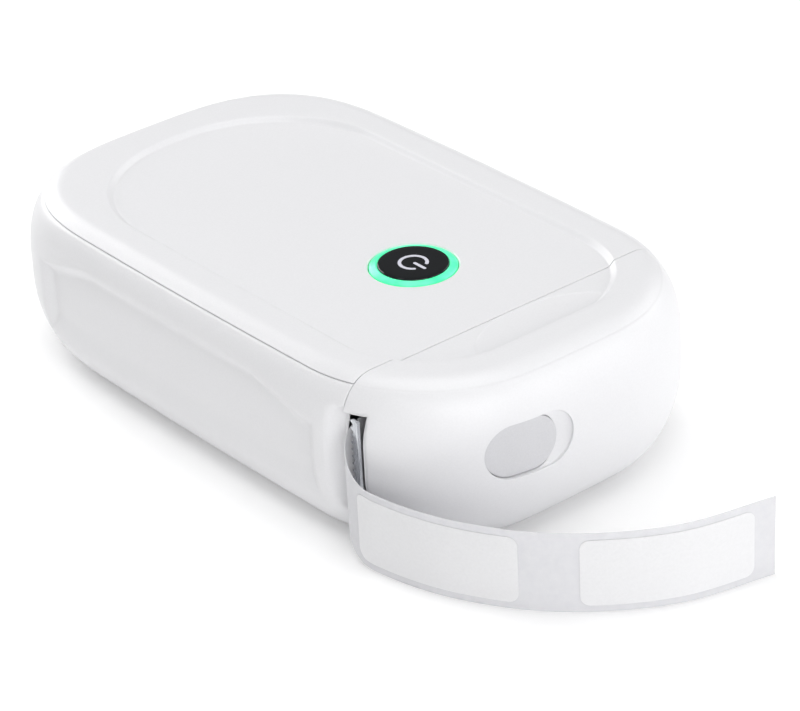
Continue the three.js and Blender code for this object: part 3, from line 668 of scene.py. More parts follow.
@dataclass
class Form:
    """The outer form that the case and the cover share.

    Length, width and height come from the frame. The rest are the shape's own measures.
    """

    length: float
    width: float
    height: float
    seam: float = -43.3
    seam_gap: float = 0.16
    front_corner: float = 29.3
    back_corner: float = 33.2
    front_power: float = 2.1
    back_power: float = 2.7
    bow: float = 0.03
    top_tall: float = 12.0
    top_wide: float = 7.2
    top_power: float = 2.25
    foot_tall: float = 14.3
    foot_wide: float = 7.5
    foot_power: float = 1.8
    wall: float = 2.0
    edge: float = 0.14
    base: np.ndarray = field(init=False)
    normals: np.ndarray = field(init=False)

    def __post_init__(self) -> None:
        """Works out the plan outline and its normals once."""
        half_x, half_y = self.width / 2, self.length / 2
        quarters = []
        for sign_x, sign_y, start in ((1, -1, -90), (1, 1, 0), (-1, 1, 90), (-1, -1, 180)):
            radius = self.front_corner if sign_y < 0 else self.back_corner
            power = 2 / (self.front_power if sign_y < 0 else self.back_power)
            turn = np.radians(np.linspace(start, start + 90, 240))
            x = sign_x * (half_x - radius + radius * np.abs(np.cos(turn)) ** power)
            y = sign_y * (half_y - radius + radius * np.abs(np.sin(turn)) ** power)
            quarters.append(np.column_stack([x, y]))
        corners = np.concatenate(quarters)
        evenly = resample(np.vstack([corners, corners[:1]]), 2400)[:-1]
        bowed = evenly * (1 - self.bow * (evenly[:, ::-1] / (half_y, half_x)) ** 2)
        self.base = bowed
        along = np.roll(bowed, -1, axis=0) - np.roll(bowed, 1, axis=0)
        along /= np.linalg.norm(along, axis=1)[:, None]
        self.normals = np.column_stack([along[:, 1], -along[:, 0]])

    def outline(self, inset: float) -> np.ndarray:
        """The plan outline moved inwards."""
        return self.base - self.normals * inset

    def inset(self, z: float) -> float:
        """How far the surface lies inside the plan outline at height z.

        Args:
            z: the height.

        Returns:
            The inset in millimetres.
        """
        rise = (z - (self.height - self.top_tall)) / self.top_tall
        if rise > 0:
            left = 1 - min(rise, 1.0) ** self.top_power
            return self.top_wide * (1 - left ** (1 / self.top_power))
        drop = min(max(0.0, (self.foot_tall - z) / self.foot_tall), 1.0)
        return self.foot_wide * (1 - (1 - drop**self.foot_power) ** (1 / self.foot_power))

    def profile(self, low: float, high: float, count: int) -> list[tuple[float, float]]:
        """Evenly spaced points of the side profile, as inset and height.

        Args:
            low: where it starts.
            high: where it ends.
            count: how many points.

        Returns:
            The points.
        """
        heights = self.height * (1 - np.cos(np.linspace(0, np.pi, 3000))) / 2
        heights = np.concatenate([[low], heights[(heights > low) & (heights < high)], [high]])
        dense = np.array([(self.inset(z), z) for z in heights])
        return [tuple(p) for p in resample(dense, count)]

    def cut(self, side: Side) -> float:
        """Where that side's shells end at the seam."""
        return self.seam + side.value * self.seam_gap / 2

    def ring(
        self, curve: np.ndarray, z: float, side: Side, count: int, soft: tuple[float, float]
    ) -> tuple[np.ndarray, np.ndarray]:
        """One row of a shell: a closed curve at height z, ended at the seam.

        Args:
            curve: the closed curve's points.
            z: its height.
            side: the side of the seam that is kept.
            count: how many points between the rounded ends.
            soft: how much of the rounding at the seam goes inwards and downwards.

        Returns:
            The row's points and their outward normals in plan.
        """
        path = clipped(curve, self.cut(side), side)
        points, distance, total = spaced(path, count, self.edge)
        along = np.gradient(points, axis=0)
        along /= np.linalg.norm(along, axis=1)[:, None] + 1e-12
        normals = np.column_stack([along[:, 1], -along[:, 0]])
        near = np.minimum(distance, total - distance)
        short = np.clip(self.edge - near, 0, None)
        drop = self.edge - np.sqrt(np.clip(self.edge**2 - short**2, 0, None))
        row = np.column_stack([points - normals * (drop * soft[0])[:, None], z - drop * soft[1]])
        row[[0, -1], 1] = self.cut(side)
        return row, normals


def resample(path: np.ndarray, count: int) -> np.ndarray:
    """Points evenly spaced along an open path.

    Args:
        path: the path's points.
        count: how many to return.

    Returns:
        The new points.
    """
    steps = np.concatenate([[0], np.cumsum(np.linalg.norm(np.diff(path, axis=0), axis=1))])
    at = np.linspace(0, steps[-1], count)
    return np.column_stack([np.interp(at, steps, path[:, k]) for k in range(path.shape[1])])


def clipped(curve: np.ndarray, cut: float, side: Side) -> np.ndarray:
    """The stretch of a closed curve on one side of the seam, ended exactly on it.

    Args:
        curve: the closed curve's points.
        cut: the y where it ends.
        side: the side of the seam that is kept.

    Returns:
        The open stretch.
    """
    inside = side.value * (curve[:, 1] - cut) > 0
    start = int(np.flatnonzero(inside & ~np.roll(inside, 1))[0])
    turned = np.roll(curve, -start, axis=0)
    kept = int(np.count_nonzero(inside))

    def crossing(outer: np.ndarray, inner: np.ndarray) -> np.ndarray:
        """Where the line between two points meets the cut."""
        share = (cut - outer[1]) / (inner[1] - outer[1])
        return outer + (inner - outer) * share

    first = crossing(turned[-1], turned[0])
    last = crossing(turned[kept], turned[kept - 1])
    return np.vstack([first, turned[:kept], last])


def spaced(path: np.ndarray, count: int, edge: float) -> tuple[np.ndarray, np.ndarray, float]:
    """Points along a path, closer together at both ends, with their distances and the length.

    Args:
        path: the path's points.
        count: how many between the close ones.
        edge: how far in the close ones reach.

    Returns:
        The points, their distances along the path, and its length.
    """
    steps = np.concatenate([[0], np.cumsum(np.linalg.norm(np.diff(path, axis=0), axis=1))])
    total = steps[-1]
    near = edge * (1 - np.cos(np.linspace(0, np.pi / 2, 5)))[:-1]
    at = np.concatenate([near, np.linspace(edge, total - edge, count), total - near[::-1]])
    points = np.column_stack([np.interp(at, steps, path[:, k]) for k in range(2)])
    return points, at, total


Dent = Callable[[np.ndarray], np.ndarray]


def undented(points: np.ndarray) -> np.ndarray:
    """No dent at any of the points."""
    return np.zeros(len(points))


@dataclass
class Tub:
    """A deep shell with a floor, its rim just under the lid and one end at the seam."""

    form: Form
    side: Side
    dent: Dent
    inner_dent: Dent
    columns: int
    rows: int
    inner_rows: int
    rim: float = 30.13
    rim_edge: float = 0.14
    floor_shares: tuple[float, ...] = (0.0, 0.35, 0.7, 0.9)
    inner_floor_shares: tuple[float, ...] = (0.9, 0.5, 0.0)
    rim_turns: tuple[float, ...] = (25, 50, 75, 90)

    def build(self, name: str) -> bpy.types.Object:
        """Lays the grid round the outside, over the rim and down the inside.

        Args:
            name: the shell's name.

        Returns:
            The closed shell.
        """
        form, edge = self.form, self.rim_edge
        rows = []
        hub = np.array([0.0, form.cut(self.side)])
        foot = form.outline(form.inset(0))
        for share in self.floor_shares:
            rows.append(self.floor_row(foot, hub, share, 0.0))
        for inset, z in form.profile(0.0, self.rim - edge, self.rows):
            rows.append(self.wall_row(form.outline(inset), z, 1.0, self.dent))
        for turn in np.radians(self.rim_turns):
            inset = form.inset(self.rim) + edge * (1 - math.cos(turn))
            z = self.rim - edge * (1 - math.sin(turn))
            rows.append(self.wall_row(form.outline(inset), z, 1.0, self.dent))
        for z in np.linspace(self.rim, form.wall, self.inner_rows):
            inset = form.inset(z) + form.wall
            rows.append(self.wall_row(form.outline(inset), z, 0.0, self.inner_dent))
        ceiling = form.outline(form.inset(form.wall) + form.wall)
        for share in self.inner_floor_shares:
            rows.append(self.floor_row(ceiling, hub, share, form.wall))
        return outward(draped(name, np.array(rows)))

    def wall_row(self, curve: np.ndarray, z: float, soft: float, dent: Dent) -> np.ndarray:
        """A row of the wall, pushed in by the dent.

        Args:
            curve: the closed curve that it follows.
            z: its height.
            soft: how much its ends are rounded at the seam.
            dent: how deep it is pushed in at each point.

        Returns:
            The row's points.
        """
        row, normals = self.form.ring(curve, z, self.side, self.columns, (soft, 0.0))
        depth = dent(row)
        row[:, :2] -= normals * depth[:, None]
        row[[0, -1], 1] = self.form.cut(self.side)
        return row

    def floor_row(self, curve: np.ndarray, hub: np.ndarray, share: float, z: float) -> np.ndarray:
        """A row of the floor, the outline shrunk towards the hub on the seam.

        Args:
            curve: the closed curve.
            hub: the point on the seam that the rows meet in.
            share: how much of its size is left.
            z: its height.

        Returns:
            The row's points.
        """
        row, _ = self.form.ring(curve, z, self.side, self.columns, (0.0, 0.0))
        row[:, :2] = hub + (row[:, :2] - hub) * share
        return row


@dataclass
class Lid:
    """A thin top with a plug that fits in the tub, and its share of the sunken panel."""

    form: Form
    side: Side
    columns: int
    panel_rows: int
    scoop: Dent
    low: float = 30.29
    low_edge: float = 0.14
    plug_low: float = 28.4
    plug_inset: float = 5.4
    panel_half: float = 27.9
    panel_front: float = -52.6
    panel_back: float = 51.6
    panel_front_corner: float = 19.0
    panel_back_corner: float = 26.0
    panel_deep: float = 0.9
    panel_slope: float = 1.4
    slope_rows: int = 15
    profile_rows: int = 26

    def panel(self, inset: float) -> np.ndarray:
        """The panel's outline moved inwards.

        Args:
            inset: how far.

        Returns:
            Its points, evenly spaced.
        """
        return resample(
            rounded_box_outline(
                self.panel_half - inset,
                self.panel_front + inset,
                self.panel_back - inset,
                self.panel_front_corner - inset,
                self.panel_back_corner - inset,
            ),
            1600,
        )

    def build(self, name: str) -> bpy.types.Object:
        """Lays the grid under the plug, round the rim, over the top and into the panel.

        Args:
            name: the lid's name.

        Returns:
            The closed lid.
        """
        form, edge = self.form, self.low_edge
        rows = []
        hub = np.array([0.0, form.cut(self.side)])
        plug = form.outline(self.plug_inset)
        for share in (0.0, 0.5, 1.0):
            rows.append(self.flat_row(plug, hub, share, self.plug_low, 0.0))
        rows.append(self.flat_row(plug, hub, 1.0, self.low, 0.0))
        outer = form.inset(self.low)
        for turn in np.radians((0, 30, 60)):
            curve = form.outline(outer + edge * (1 - math.sin(turn)))
            rows.append(self.soft_row(curve, self.low + edge * (1 - math.cos(turn)), (0.5, 0.0)))
        for inset, z in form.profile(self.low + edge, form.height, self.profile_rows):
            lean = min(1.0, (inset - outer) / (form.top_wide - outer))
            rows.append(self.soft_row(form.outline(inset), z, (1 - lean, lean)))
        rim, step = form.outline(form.top_wide), self.panel(0)
        for share in (0.25, 0.5, 0.75):
            inner, _ = form.ring(step, form.height, self.side, self.columns, (0.0, 1.0))
            outer_row, _ = form.ring(rim, form.height, self.side, self.columns, (0.0, 1.0))
            rows.append(outer_row + (inner - outer_row) * share)
        for share in np.linspace(0, 1, self.slope_rows):
            z = form.height - self.panel_deep * float(ease(share))
            rows.append(self.soft_row(self.panel(self.panel_slope * share), z, (0.0, 1.0)))
        floor = self.panel(self.panel_slope)
        for share in np.linspace(1, 0, self.panel_rows)[1:]:
            rows.append(self.flat_row(floor, hub, share, form.height - self.panel_deep, 1.0))
        for row in rows[-self.panel_rows - self.slope_rows + 1 :]:
            row[:, 2] -= self.scoop(row)
        return outward(draped(name, np.array(rows)))

    def soft_row(self, curve: np.ndarray, z: float, soft: tuple[float, float]) -> np.ndarray:
        """A row whose ends are rounded at the seam."""
        return self.form.ring(curve, z, self.side, self.columns, soft)[0]

    def flat_row(
        self, curve: np.ndarray, hub: np.ndarray, share: float, z: float, soft: float
    ) -> np.ndarray:
        """A row shrunk towards the hub on the seam.

        Args:
            curve: the closed curve.
            hub: the point on the seam that the rows meet in.
            share: how much of its size is left.
            z: its height.
            soft: how much its ends are rounded downwards.

        Returns:
            The row's points.
        """
        row = self.soft_row(curve, z, (0.0, soft))
        row[:, :2] = hub + (row[:, :2] - hub) * share
        return row


# ---------- sub-assemblies ----------


@dataclass
class Hinge:
    """The upright hinge at the right end of the seam: three knuckles on one pin."""

    x: float = 35.4
    y: float = -43.3
    barrel: float = 2.0
    barrel_edge: float = 0.2
    hole: float = 0.9
    relief_low: float = 6.5
    relief_high: float = 27.0
    neck: float = 1.15
    neck_reach: float = 1.4

    def relief(self, radius: float) -> bpy.types.Object:
        """The round space that the other side's knuckles turn in.

        Args:
            radius: the space's radius.

        Returns:
            The cutter for it.
        """
        low, high, reach, neck = self.relief_low, self.relief_high, self.neck_reach, self.neck
        section = [(0, low - reach), (neck, low - reach), (neck, low), (radius, low)]
        section += [(radius, high), (neck, high), (neck, high + reach + 1), (0, high + reach + 1)]
        return spun("relief", section, self.x, self.y, 64)

    def knuckle(
        self, low: float, high: float, web: tuple[float, float, float, float]
    ) -> bpy.types.Object:
        """A barrel with its web, bored for the pin.

        Args:
            low: the barrel's lower end.
            high: its upper end.
            web: the web's x and y limits.

        Returns:
            One closed knuckle.
        """
        radius, edge = self.barrel, self.barrel_edge
        section = [(0, low), (radius - edge, low), (radius, low + edge)]
        section += [(radius, high - edge), (radius - edge, high), (0, high)]
        barrel = spun("knuckle", section, self.x, self.y, 48)
        combine(barrel, [block("web", (web[0], web[2], low), (web[1], web[3], high))], "UNION")
        bore = [(0, low - 1), (self.hole, low - 1), (self.hole, high + 1), (0, high + 1)]
        combine(barrel, [spun("bore", bore, self.x, self.y, 32)], "DIFFERENCE")
        return barrel


@dataclass
class Case:
    """The body of the printer: the deep tub and its lid."""

    form: Form
    hinge: Hinge
    grip_deep: float = 1.65
    grip_top: float = 26.4
    grip_top_soft: float = 2.9
    grip_top_fall: float = 3.3
    grip_middle: float = 4
    grip_level: float = 22
    grip_fall_run: float = 18
    grip_foot: float = 6.4
    grip_foot_soft: float = 6.5
    grip_front: float = 38.2
    grip_back: float = 43.5
    grip_end_soft: float = 3.2
    grip_half_x: float = 28
    grip_half_y: float = 50
    valley_deep: float = 1.9
    valley_run: float = 3.4
    valley_low: float = 6.5
    valley_low_soft: float = 2.5
    valley_high: float = 27.2
    valley_high_soft: float = 2.0
    screws: tuple[tuple[float, float], ...] = ((-30, -12), (30, -12), (-28, 46), (28, 46))
    well: float = 2.3
    well_deep: float = 3.2
    well_seat: float = 1.3
    well_edge: float = 3.0
    port_high: float = 16.1
    port_half: float = 4.9
    port_radius: float = 2.0
    power: tuple[float, float] = (0.0, -18.9)
    power_hole: float = 8.0
    power_edge: float = 0.25
    panel_level: float = 30.72
    relief: float = 2.8
    web: tuple[float, float, float, float] = (34.5, 36.8, -43.3, -39.4)
    knuckles: tuple[tuple[float, float], ...] = ((9, 12.8), (20.8, 24.5))
    columns: int = 460

    def grip(self, points: np.ndarray) -> np.ndarray:
        """How deep the finger hollows press into the sides, at each point.

        Args:
            points: points on the case, in millimetres.

        Returns:
            The depth at each.
        """
        y, z = points[:, 1], points[:, 2]
        fall = ease((np.abs(y - self.grip_middle) - self.grip_level) / self.grip_fall_run)
        top = self.grip_top - self.grip_top_fall * fall
        ends = np.minimum(y + self.grip_front, self.grip_back - y) / self.grip_end_soft
        height = np.minimum(
            (top - z) / self.grip_top_soft, (z - self.grip_foot) / self.grip_foot_soft
        )
        sides = (np.abs(points[:, 0]) > self.grip_half_x) & (np.abs(y) < self.grip_half_y)
        return self.grip_deep * ease(np.minimum(height, ends)) * sides

    def dent(self, points: np.ndarray) -> np.ndarray:
        """The grip hollows, and the valley that leads to the label slot.

        Args:
            points: points on the case, in millimetres.

        Returns:
            The depth at each.
        """
        y, z = points[:, 1], points[:, 2]
        near = ease((self.form.seam + self.valley_run - y) / self.valley_run)
        above = ease((z - self.valley_low) / self.valley_low_soft)
        within = above * ease((self.valley_high - z) / self.valley_high_soft)
        valley = self.valley_deep * near * within * (points[:, 0] < 0)
        return self.grip(points) + valley

    def build(self) -> None:
        """Builds the tub and the lid and dresses them."""
        tub = Tub(self.form, Side.CASE, self.dent, undented, self.columns, rows=64, inner_rows=16)
        shell = tub.build("case_tub")
        section = [(0, -1), (self.well, -1), (self.well, self.well_edge)]
        section += [(self.well_seat, self.well_edge), (self.well_seat, self.well_deep)]
        section += [(0, self.well_deep)]
        wells = [spun("well", section, x, y, 48) for x, y in self.screws]
        outline = stadium_outline(0, self.port_high, self.port_half, self.port_radius)
        port = turned_to_front(extruded("port", outline, -70, -58))
        combine(shell, [*wells, port, self.hinge.relief(self.relief)], "DIFFERENCE")
        knuckles = [self.hinge.knuckle(low, high, self.web) for low, high in self.knuckles]
        combine(shell, knuckles, "UNION")
        dress(smooth(shell), SHELL, "base", ["bottom_shell"])

        lid = Lid(self.form, Side.CASE, self.columns, 10, undented).build("case_lid")
        radius, level = self.power_hole, self.panel_level
        hole = [(0, 20), (radius, 20), (radius, 30.5)]
        hole += [(radius + self.power_edge, level), (radius + self.power_edge, 35), (0, 35)]
        combine(lid, [spun("hole", hole, *self.power, 128)], "DIFFERENCE")
        dress(smooth(lid), SHELL, "base", ["top_shell"])


@dataclass
class Cover:
    """The swinging end cover: its tub and lid, the release button and the cutter."""

    form: Form
    hinge: Hinge
    x: float = -13.9
    z: float = 18.45
    half: float = 7.17
    radius: float = 5.07
    play: float = 0.12
    sink: float = 0.7
    cap_edge: float = 0.2
    cap_dish: float = 0.35
    cap_back: float = 57.7
    flange: float = 0.8
    flange_back: float = 58.9
    flange_edge: float = 0.15
    stem_x: tuple[float, float] = (-15, -12)
    stem_y: tuple[float, float] = (-58.7, -57.75)
    stem_high: float = 17
    wedge: tuple[tuple[float, float], ...] = ((-15, -57.8), (-13.2, -57.8), (-13.2, -56))
    wedge_high: float = 7.6
    collar_wide: float = 1.0
    collar_deep: float = 0.8
    collar_back: float = 59.4
    slope_end: float = -3.75
    slope: tuple[tuple[float, float], ...] = (
        (0.0, -2.0), (0.0, 0.45), (0.08, 0.55), (0.35, 0.68), (0.9, 0.85), (1.8, 1.08), (3.0, 1.4)
    )
    slope_deep: float = 1.5
    notch_back: float = -47.3
    notch_low: float = 8.2
    notch_high: float = 26.0
    notch_edge: float = 0.5
    notch_side: float = -30
    scoop_middle: tuple[float, float] = (2.2, -52.2)
    scoop_half: tuple[float, float] = (15.2, 8.8)
    scoop_deep: float = 0.75
    scoop_front: float = 52.6
    scoop_soft: float = 1.2
    relief: float = 2.3
    knuckle: tuple[float, float] = (13.1, 20.5)
    web: tuple[float, float, float, float] = (34.2, 35.9, -46.9, -43.3)
    columns: int = 300
    tooth: float = 0.8
    teeth: int = 12
    blade_thick: float = 0.28
    fold_wide: float = 0.55

    def lip(self, points: np.ndarray) -> np.ndarray:
        """The rounded edge of the label slot.

        Args:
            points: points on the cover, in millimetres.

        Returns:
            How far each is pulled in.
        """
        y, z = points[:, 1], points[:, 2]
        out_y = np.clip(self.notch_back - y, 0, None)
        out_z = np.clip(np.maximum(self.notch_low - z, z - self.notch_high), 0, None)
        away = np.hypot(out_y, out_z)
        edge = self.notch_edge
        short = np.clip(edge - away, 0, None)
        rolled = edge - np.sqrt(edge**2 - short**2)
        return rolled * (points[:, 0] < self.notch_side) * (away > 0)

    def scoop(self, points: np.ndarray) -> np.ndarray:
        """The shallow lens pressed into the cover's part of the panel.

        Args:
            points: points on the panel, in millimetres.

        Returns:
            The depth at each.
        """
        x, y = ((points[:, k] - self.scoop_middle[k]) / self.scoop_half[k] for k in range(2))
        inside = 1 - np.sqrt(x * x + y * y)
        limit = ease((points[:, 1] + self.scoop_front) / self.scoop_soft)
        return self.scoop_deep * np.sqrt(np.clip(inside, 0, 1)) * limit

    def build(self) -> None:
        """Builds the shells, the button and the blade."""
        tub = Tub(
            self.form, Side.COVER, self.lip, undented, self.columns,
            rows=100, inner_rows=24, rim=30.215, rim_edge=0.03,
        )
        shell = tub.build("cover_tub")
        combine(shell, [self.collar()], "UNION")
        combine(shell, [self.pocket()], "DIFFERENCE")
        hole = extruded("hole", stadium_outline(self.x, self.z, self.half, self.radius), 50, 70)
        low = (-60, self.notch_back, self.notch_low)
        notch = block("notch", low, (-31, self.form.seam + 1, self.notch_high))
        relief = self.hinge.relief(self.relief)
        combine(shell, [turned_to_front(hole), notch, relief], "DIFFERENCE")
        combine(shell, [self.hinge.knuckle(*self.knuckle, self.web)], "UNION")
        dress(smooth(shell), SHELL, "cover", ["cover_body"])
        lid = Lid(
            self.form, Side.COVER, self.columns, 90, self.scoop, low=30.228, low_edge=0.03
        ).build("cover_lid")
        dress(smooth(lid, 40), SHELL, "cover", ["cover_top"])
        self.button()
        self.blade()

    def collar(self) -> bpy.types.Object:
        """The thickening behind the front wall that the button slides in."""
        wide, deep = self.collar_wide, self.collar_deep
        rows = [(0.0, None), (0.0, deep), (self.radius + wide, deep)]
        half, radius = self.half + wide, self.radius + wide
        return self.inlay("collar", self.x, half, radius, rows, self.collar_back)

    def pocket(self) -> bpy.types.Object:
        """The cutter for the sunken stadium round the button, with the finger slope beside it."""
        middle = (self.slope_end + self.x - self.half) / 2
        far = self.radius
        rows = [(far, self.slope[0][1]), *self.slope, (far, self.slope_deep)]
        return self.inlay("pocket", middle, self.slope_end - middle, far, rows)

    def button(self) -> None:
        """The capsule that unlatches the cover, slightly dished, with its flange and stem."""
        half, radius = self.half - self.play, self.radius - self.play
        rows = [(0.0, None)]
        edge = self.cap_edge
        for shrink in (0.0, 0.02, 0.06, 0.12, 0.2, 0.35, *np.linspace(0.6, radius, 12)):
            rim = edge - math.sqrt(max(edge**2 - max(edge - shrink, 0.0) ** 2, 0.0))
            dish = self.cap_dish * float(ease(np.array((shrink - 0.5) / 3.6)))
            rows.append((shrink, self.sink + rim + dish))
        cap = self.inlay("release_capsule", self.x, half, radius, rows, self.cap_back)
        outline = stadium_outline(self.x, self.z, half + self.flange, radius + self.flange)
        flange = extruded("flange", outline, self.cap_back, self.flange_back, self.flange_edge)
        turned_to_front(flange)
        low = limits("release_button")[0].z
        near, far = zip(self.stem_x, self.stem_y)
        stem = block("stem", (*near, low), (*far, self.stem_high), 0.1)
        wedge = extruded("wedge", np.array(self.wedge), low, self.wedge_high)
        for part in (flange, stem, wedge):
            combine(cap, [part], "UNION")
        dress(smooth(cap, 35), BUTTON, "release_button", ["release_button"])

    def inlay(
        self, name: str, x: float, half: float, radius: float,
        rows: Sequence[tuple[float, float | None]], back: float = 0.0,
    ) -> bpy.types.Object:
        """A closed stadium body along Y whose rows follow the cover's front surface.

        Args:
            name: the body's name.
            x: its middle.
            half: half its length.
            radius: half its height.
            rows: how far each row shrinks, and how deep under the surface it lies, or None
                where it lies flat at the back.
            back: how far the back lies from the middle of the case.

        Returns:
            The closed body.
        """
        laid = []
        for shrink, deep in rows:
            flat = stadium_outline(x, self.z, half - shrink, radius - shrink, 40, 24)
            flat = np.vstack([flat, flat[:1]])
            if deep is None:
                front = [-back] * len(flat)
            else:
                front = [self.surface(*spot) + deep for spot in flat]
            laid.append(np.column_stack([flat[:, 0], front, flat[:, 1]]))
        return outward(draped(name, np.array(laid)))

    def surface(self, x: float, z: float) -> float:
        """The y of the form's front surface at x and z.

        Args:
            x: the x.
            z: the height.

        Returns:
            The y.
        """
        curve = self.form.outline(self.form.inset(z))
        front = curve[(curve[:, 1] < 0) & (np.abs(curve[:, 0]) < 34)]
        order = np.argsort(front[:, 0])
        return float(np.interp(x, front[order, 0], front[order, 1]))

    def blade(self) -> None:
        """The cutter: a ground plate with pointed teeth and a folded stiffening edge."""
        low, high = limits("cutter_blade")
        pitch = (high.z - low.z) / self.teeth
        outline = [(low.y, high.z), (low.y, low.z)]
        for tooth in range(self.teeth):
            outline.append((high.y - self.tooth, low.z + (tooth + 0.02) * pitch))
            outline.append((high.y - self.tooth, low.z + (tooth + 0.35) * pitch))
            outline.append((high.y, low.z + (tooth + 0.68) * pitch))
        outline.append((high.y - self.tooth, high.z))
        plate = extruded("cutter_plate", np.array(outline)[::-1], 0, self.blade_thick)
        swap = Matrix(((0, 0, 1, low.x * MM), (1, 0, 0, 0), (0, 1, 0, 0), (0, 0, 0, 1)))
        plate.data.transform(swap)
        near, far = (low.x - 0.25, low.y, low.z), (low.x + 0.1, low.y + self.fold_wide, high.z)
        fold = block("fold", near, far, 0.08)
        plate = join([plate, fold], "cutter_plate")
        dress(smooth(plate, 25), STEEL, "cover", ["cutter_blade"])


@dataclass
class PowerButton:
    """The lit ring, the black disc in it and the standby mark on the disc."""

    x: float = 0.0
    y: float = -18.9
    disc: float = 6.3
    ring: float = 7.8
    top: float = 31.2
    panel: float = 30.7
    play: float = 0.12
    ring_low: float = 28.9
    disc_low: float = 29.6
    disc_edge: float = 0.2
    disc_face: float = 1.0
    post: float = 1.6
    post_low: float = 27.2
    post_high: float = 29.8
    mark_thick: float = 0.04
    mark_lift: float = 0.005
    mark_radius: float = 2.42
    mark_stroke: float = 0.31
    mark_gap: float = 36
    bar_half: float = 1.62
    bar_away: float = 1.75

    def build(self) -> None:
        """Builds the ring, the disc and its mark."""
        inner = self.disc + self.play
        section = [(inner, self.ring_low), (self.ring, self.ring_low)]
        section += [(self.ring, self.panel - 0.12)]
        section += [(self.ring - 0.12, self.panel + 0.02), (self.ring - 0.5, self.panel + 0.16)]
        section += [(inner + 0.3, self.panel + 0.36), (inner, self.panel + 0.3)]
        ring = spun("power_light_ring", section, self.x, self.y, 128)
        dress(smooth(ring), GUIDE, "base", ["light_ring"])
        edge = self.disc_edge
        section = [(0, self.disc_low), (self.disc, self.disc_low), (self.disc, self.top - edge)]
        for turn in np.radians((30, 60, 90)):
            radius = self.disc - edge * (1 - math.cos(turn))
            section.append((radius, self.top - edge * (1 - math.sin(turn))))
        section += [(self.disc - self.disc_face, self.top), (0, self.top)]
        disc = spun("power_disc", section, self.x, self.y, 128)
        low, high = self.post_low, self.post_high
        section = [(0, low), (self.post, low), (self.post, high), (0, high)]
        combine(disc, [spun("post", section, self.x, self.y, 32)], "UNION")
        dress(smooth(disc), ACRYLIC, "power_button", ["power_button"])
        dress(self.mark(), INK, "power_button")

    def mark(self) -> bpy.types.Object:
        """The standby sign: an open ring and a bar through its gap, printed on the disc."""
        middle, stroke, gap = self.mark_radius, self.mark_stroke, self.mark_gap
        low, high = self.top + self.mark_lift, self.top + self.mark_thick
        centre = np.array([self.x, self.y])
        turns = np.radians(np.linspace(-90 + gap, 270 - gap, 64))
        tips = np.radians(np.linspace(0, 180, 9))
        way = np.column_stack([np.cos(turns), np.sin(turns)])
        last, first = turns[-1], turns[0]
        outline = [centre + (middle + stroke) * w for w in way]
        for tip in tips[1:-1]:
            spot = centre + middle * np.array([math.cos(last), math.sin(last)])
            outline.append(spot + stroke * np.array([math.cos(last + tip), math.sin(last + tip)]))
        outline += [centre + (middle - stroke) * w for w in way[::-1]]
        for tip in tips[1:-1]:
            spot = centre + middle * np.array([math.cos(first), math.sin(first)])
            back = first + math.pi + tip
            outline.append(spot + stroke * np.array([math.cos(back), math.sin(back)]))
        arc = extruded("arc", np.array(outline), low, high)
        upright = stadium_outline(0, 0, self.bar_half, stroke, 12)[:, ::-1] * (1, -1)
        bar = extruded("bar", upright + (self.x, self.y - self.bar_away), low, high)
        return join([arc, bar], "standby_mark")


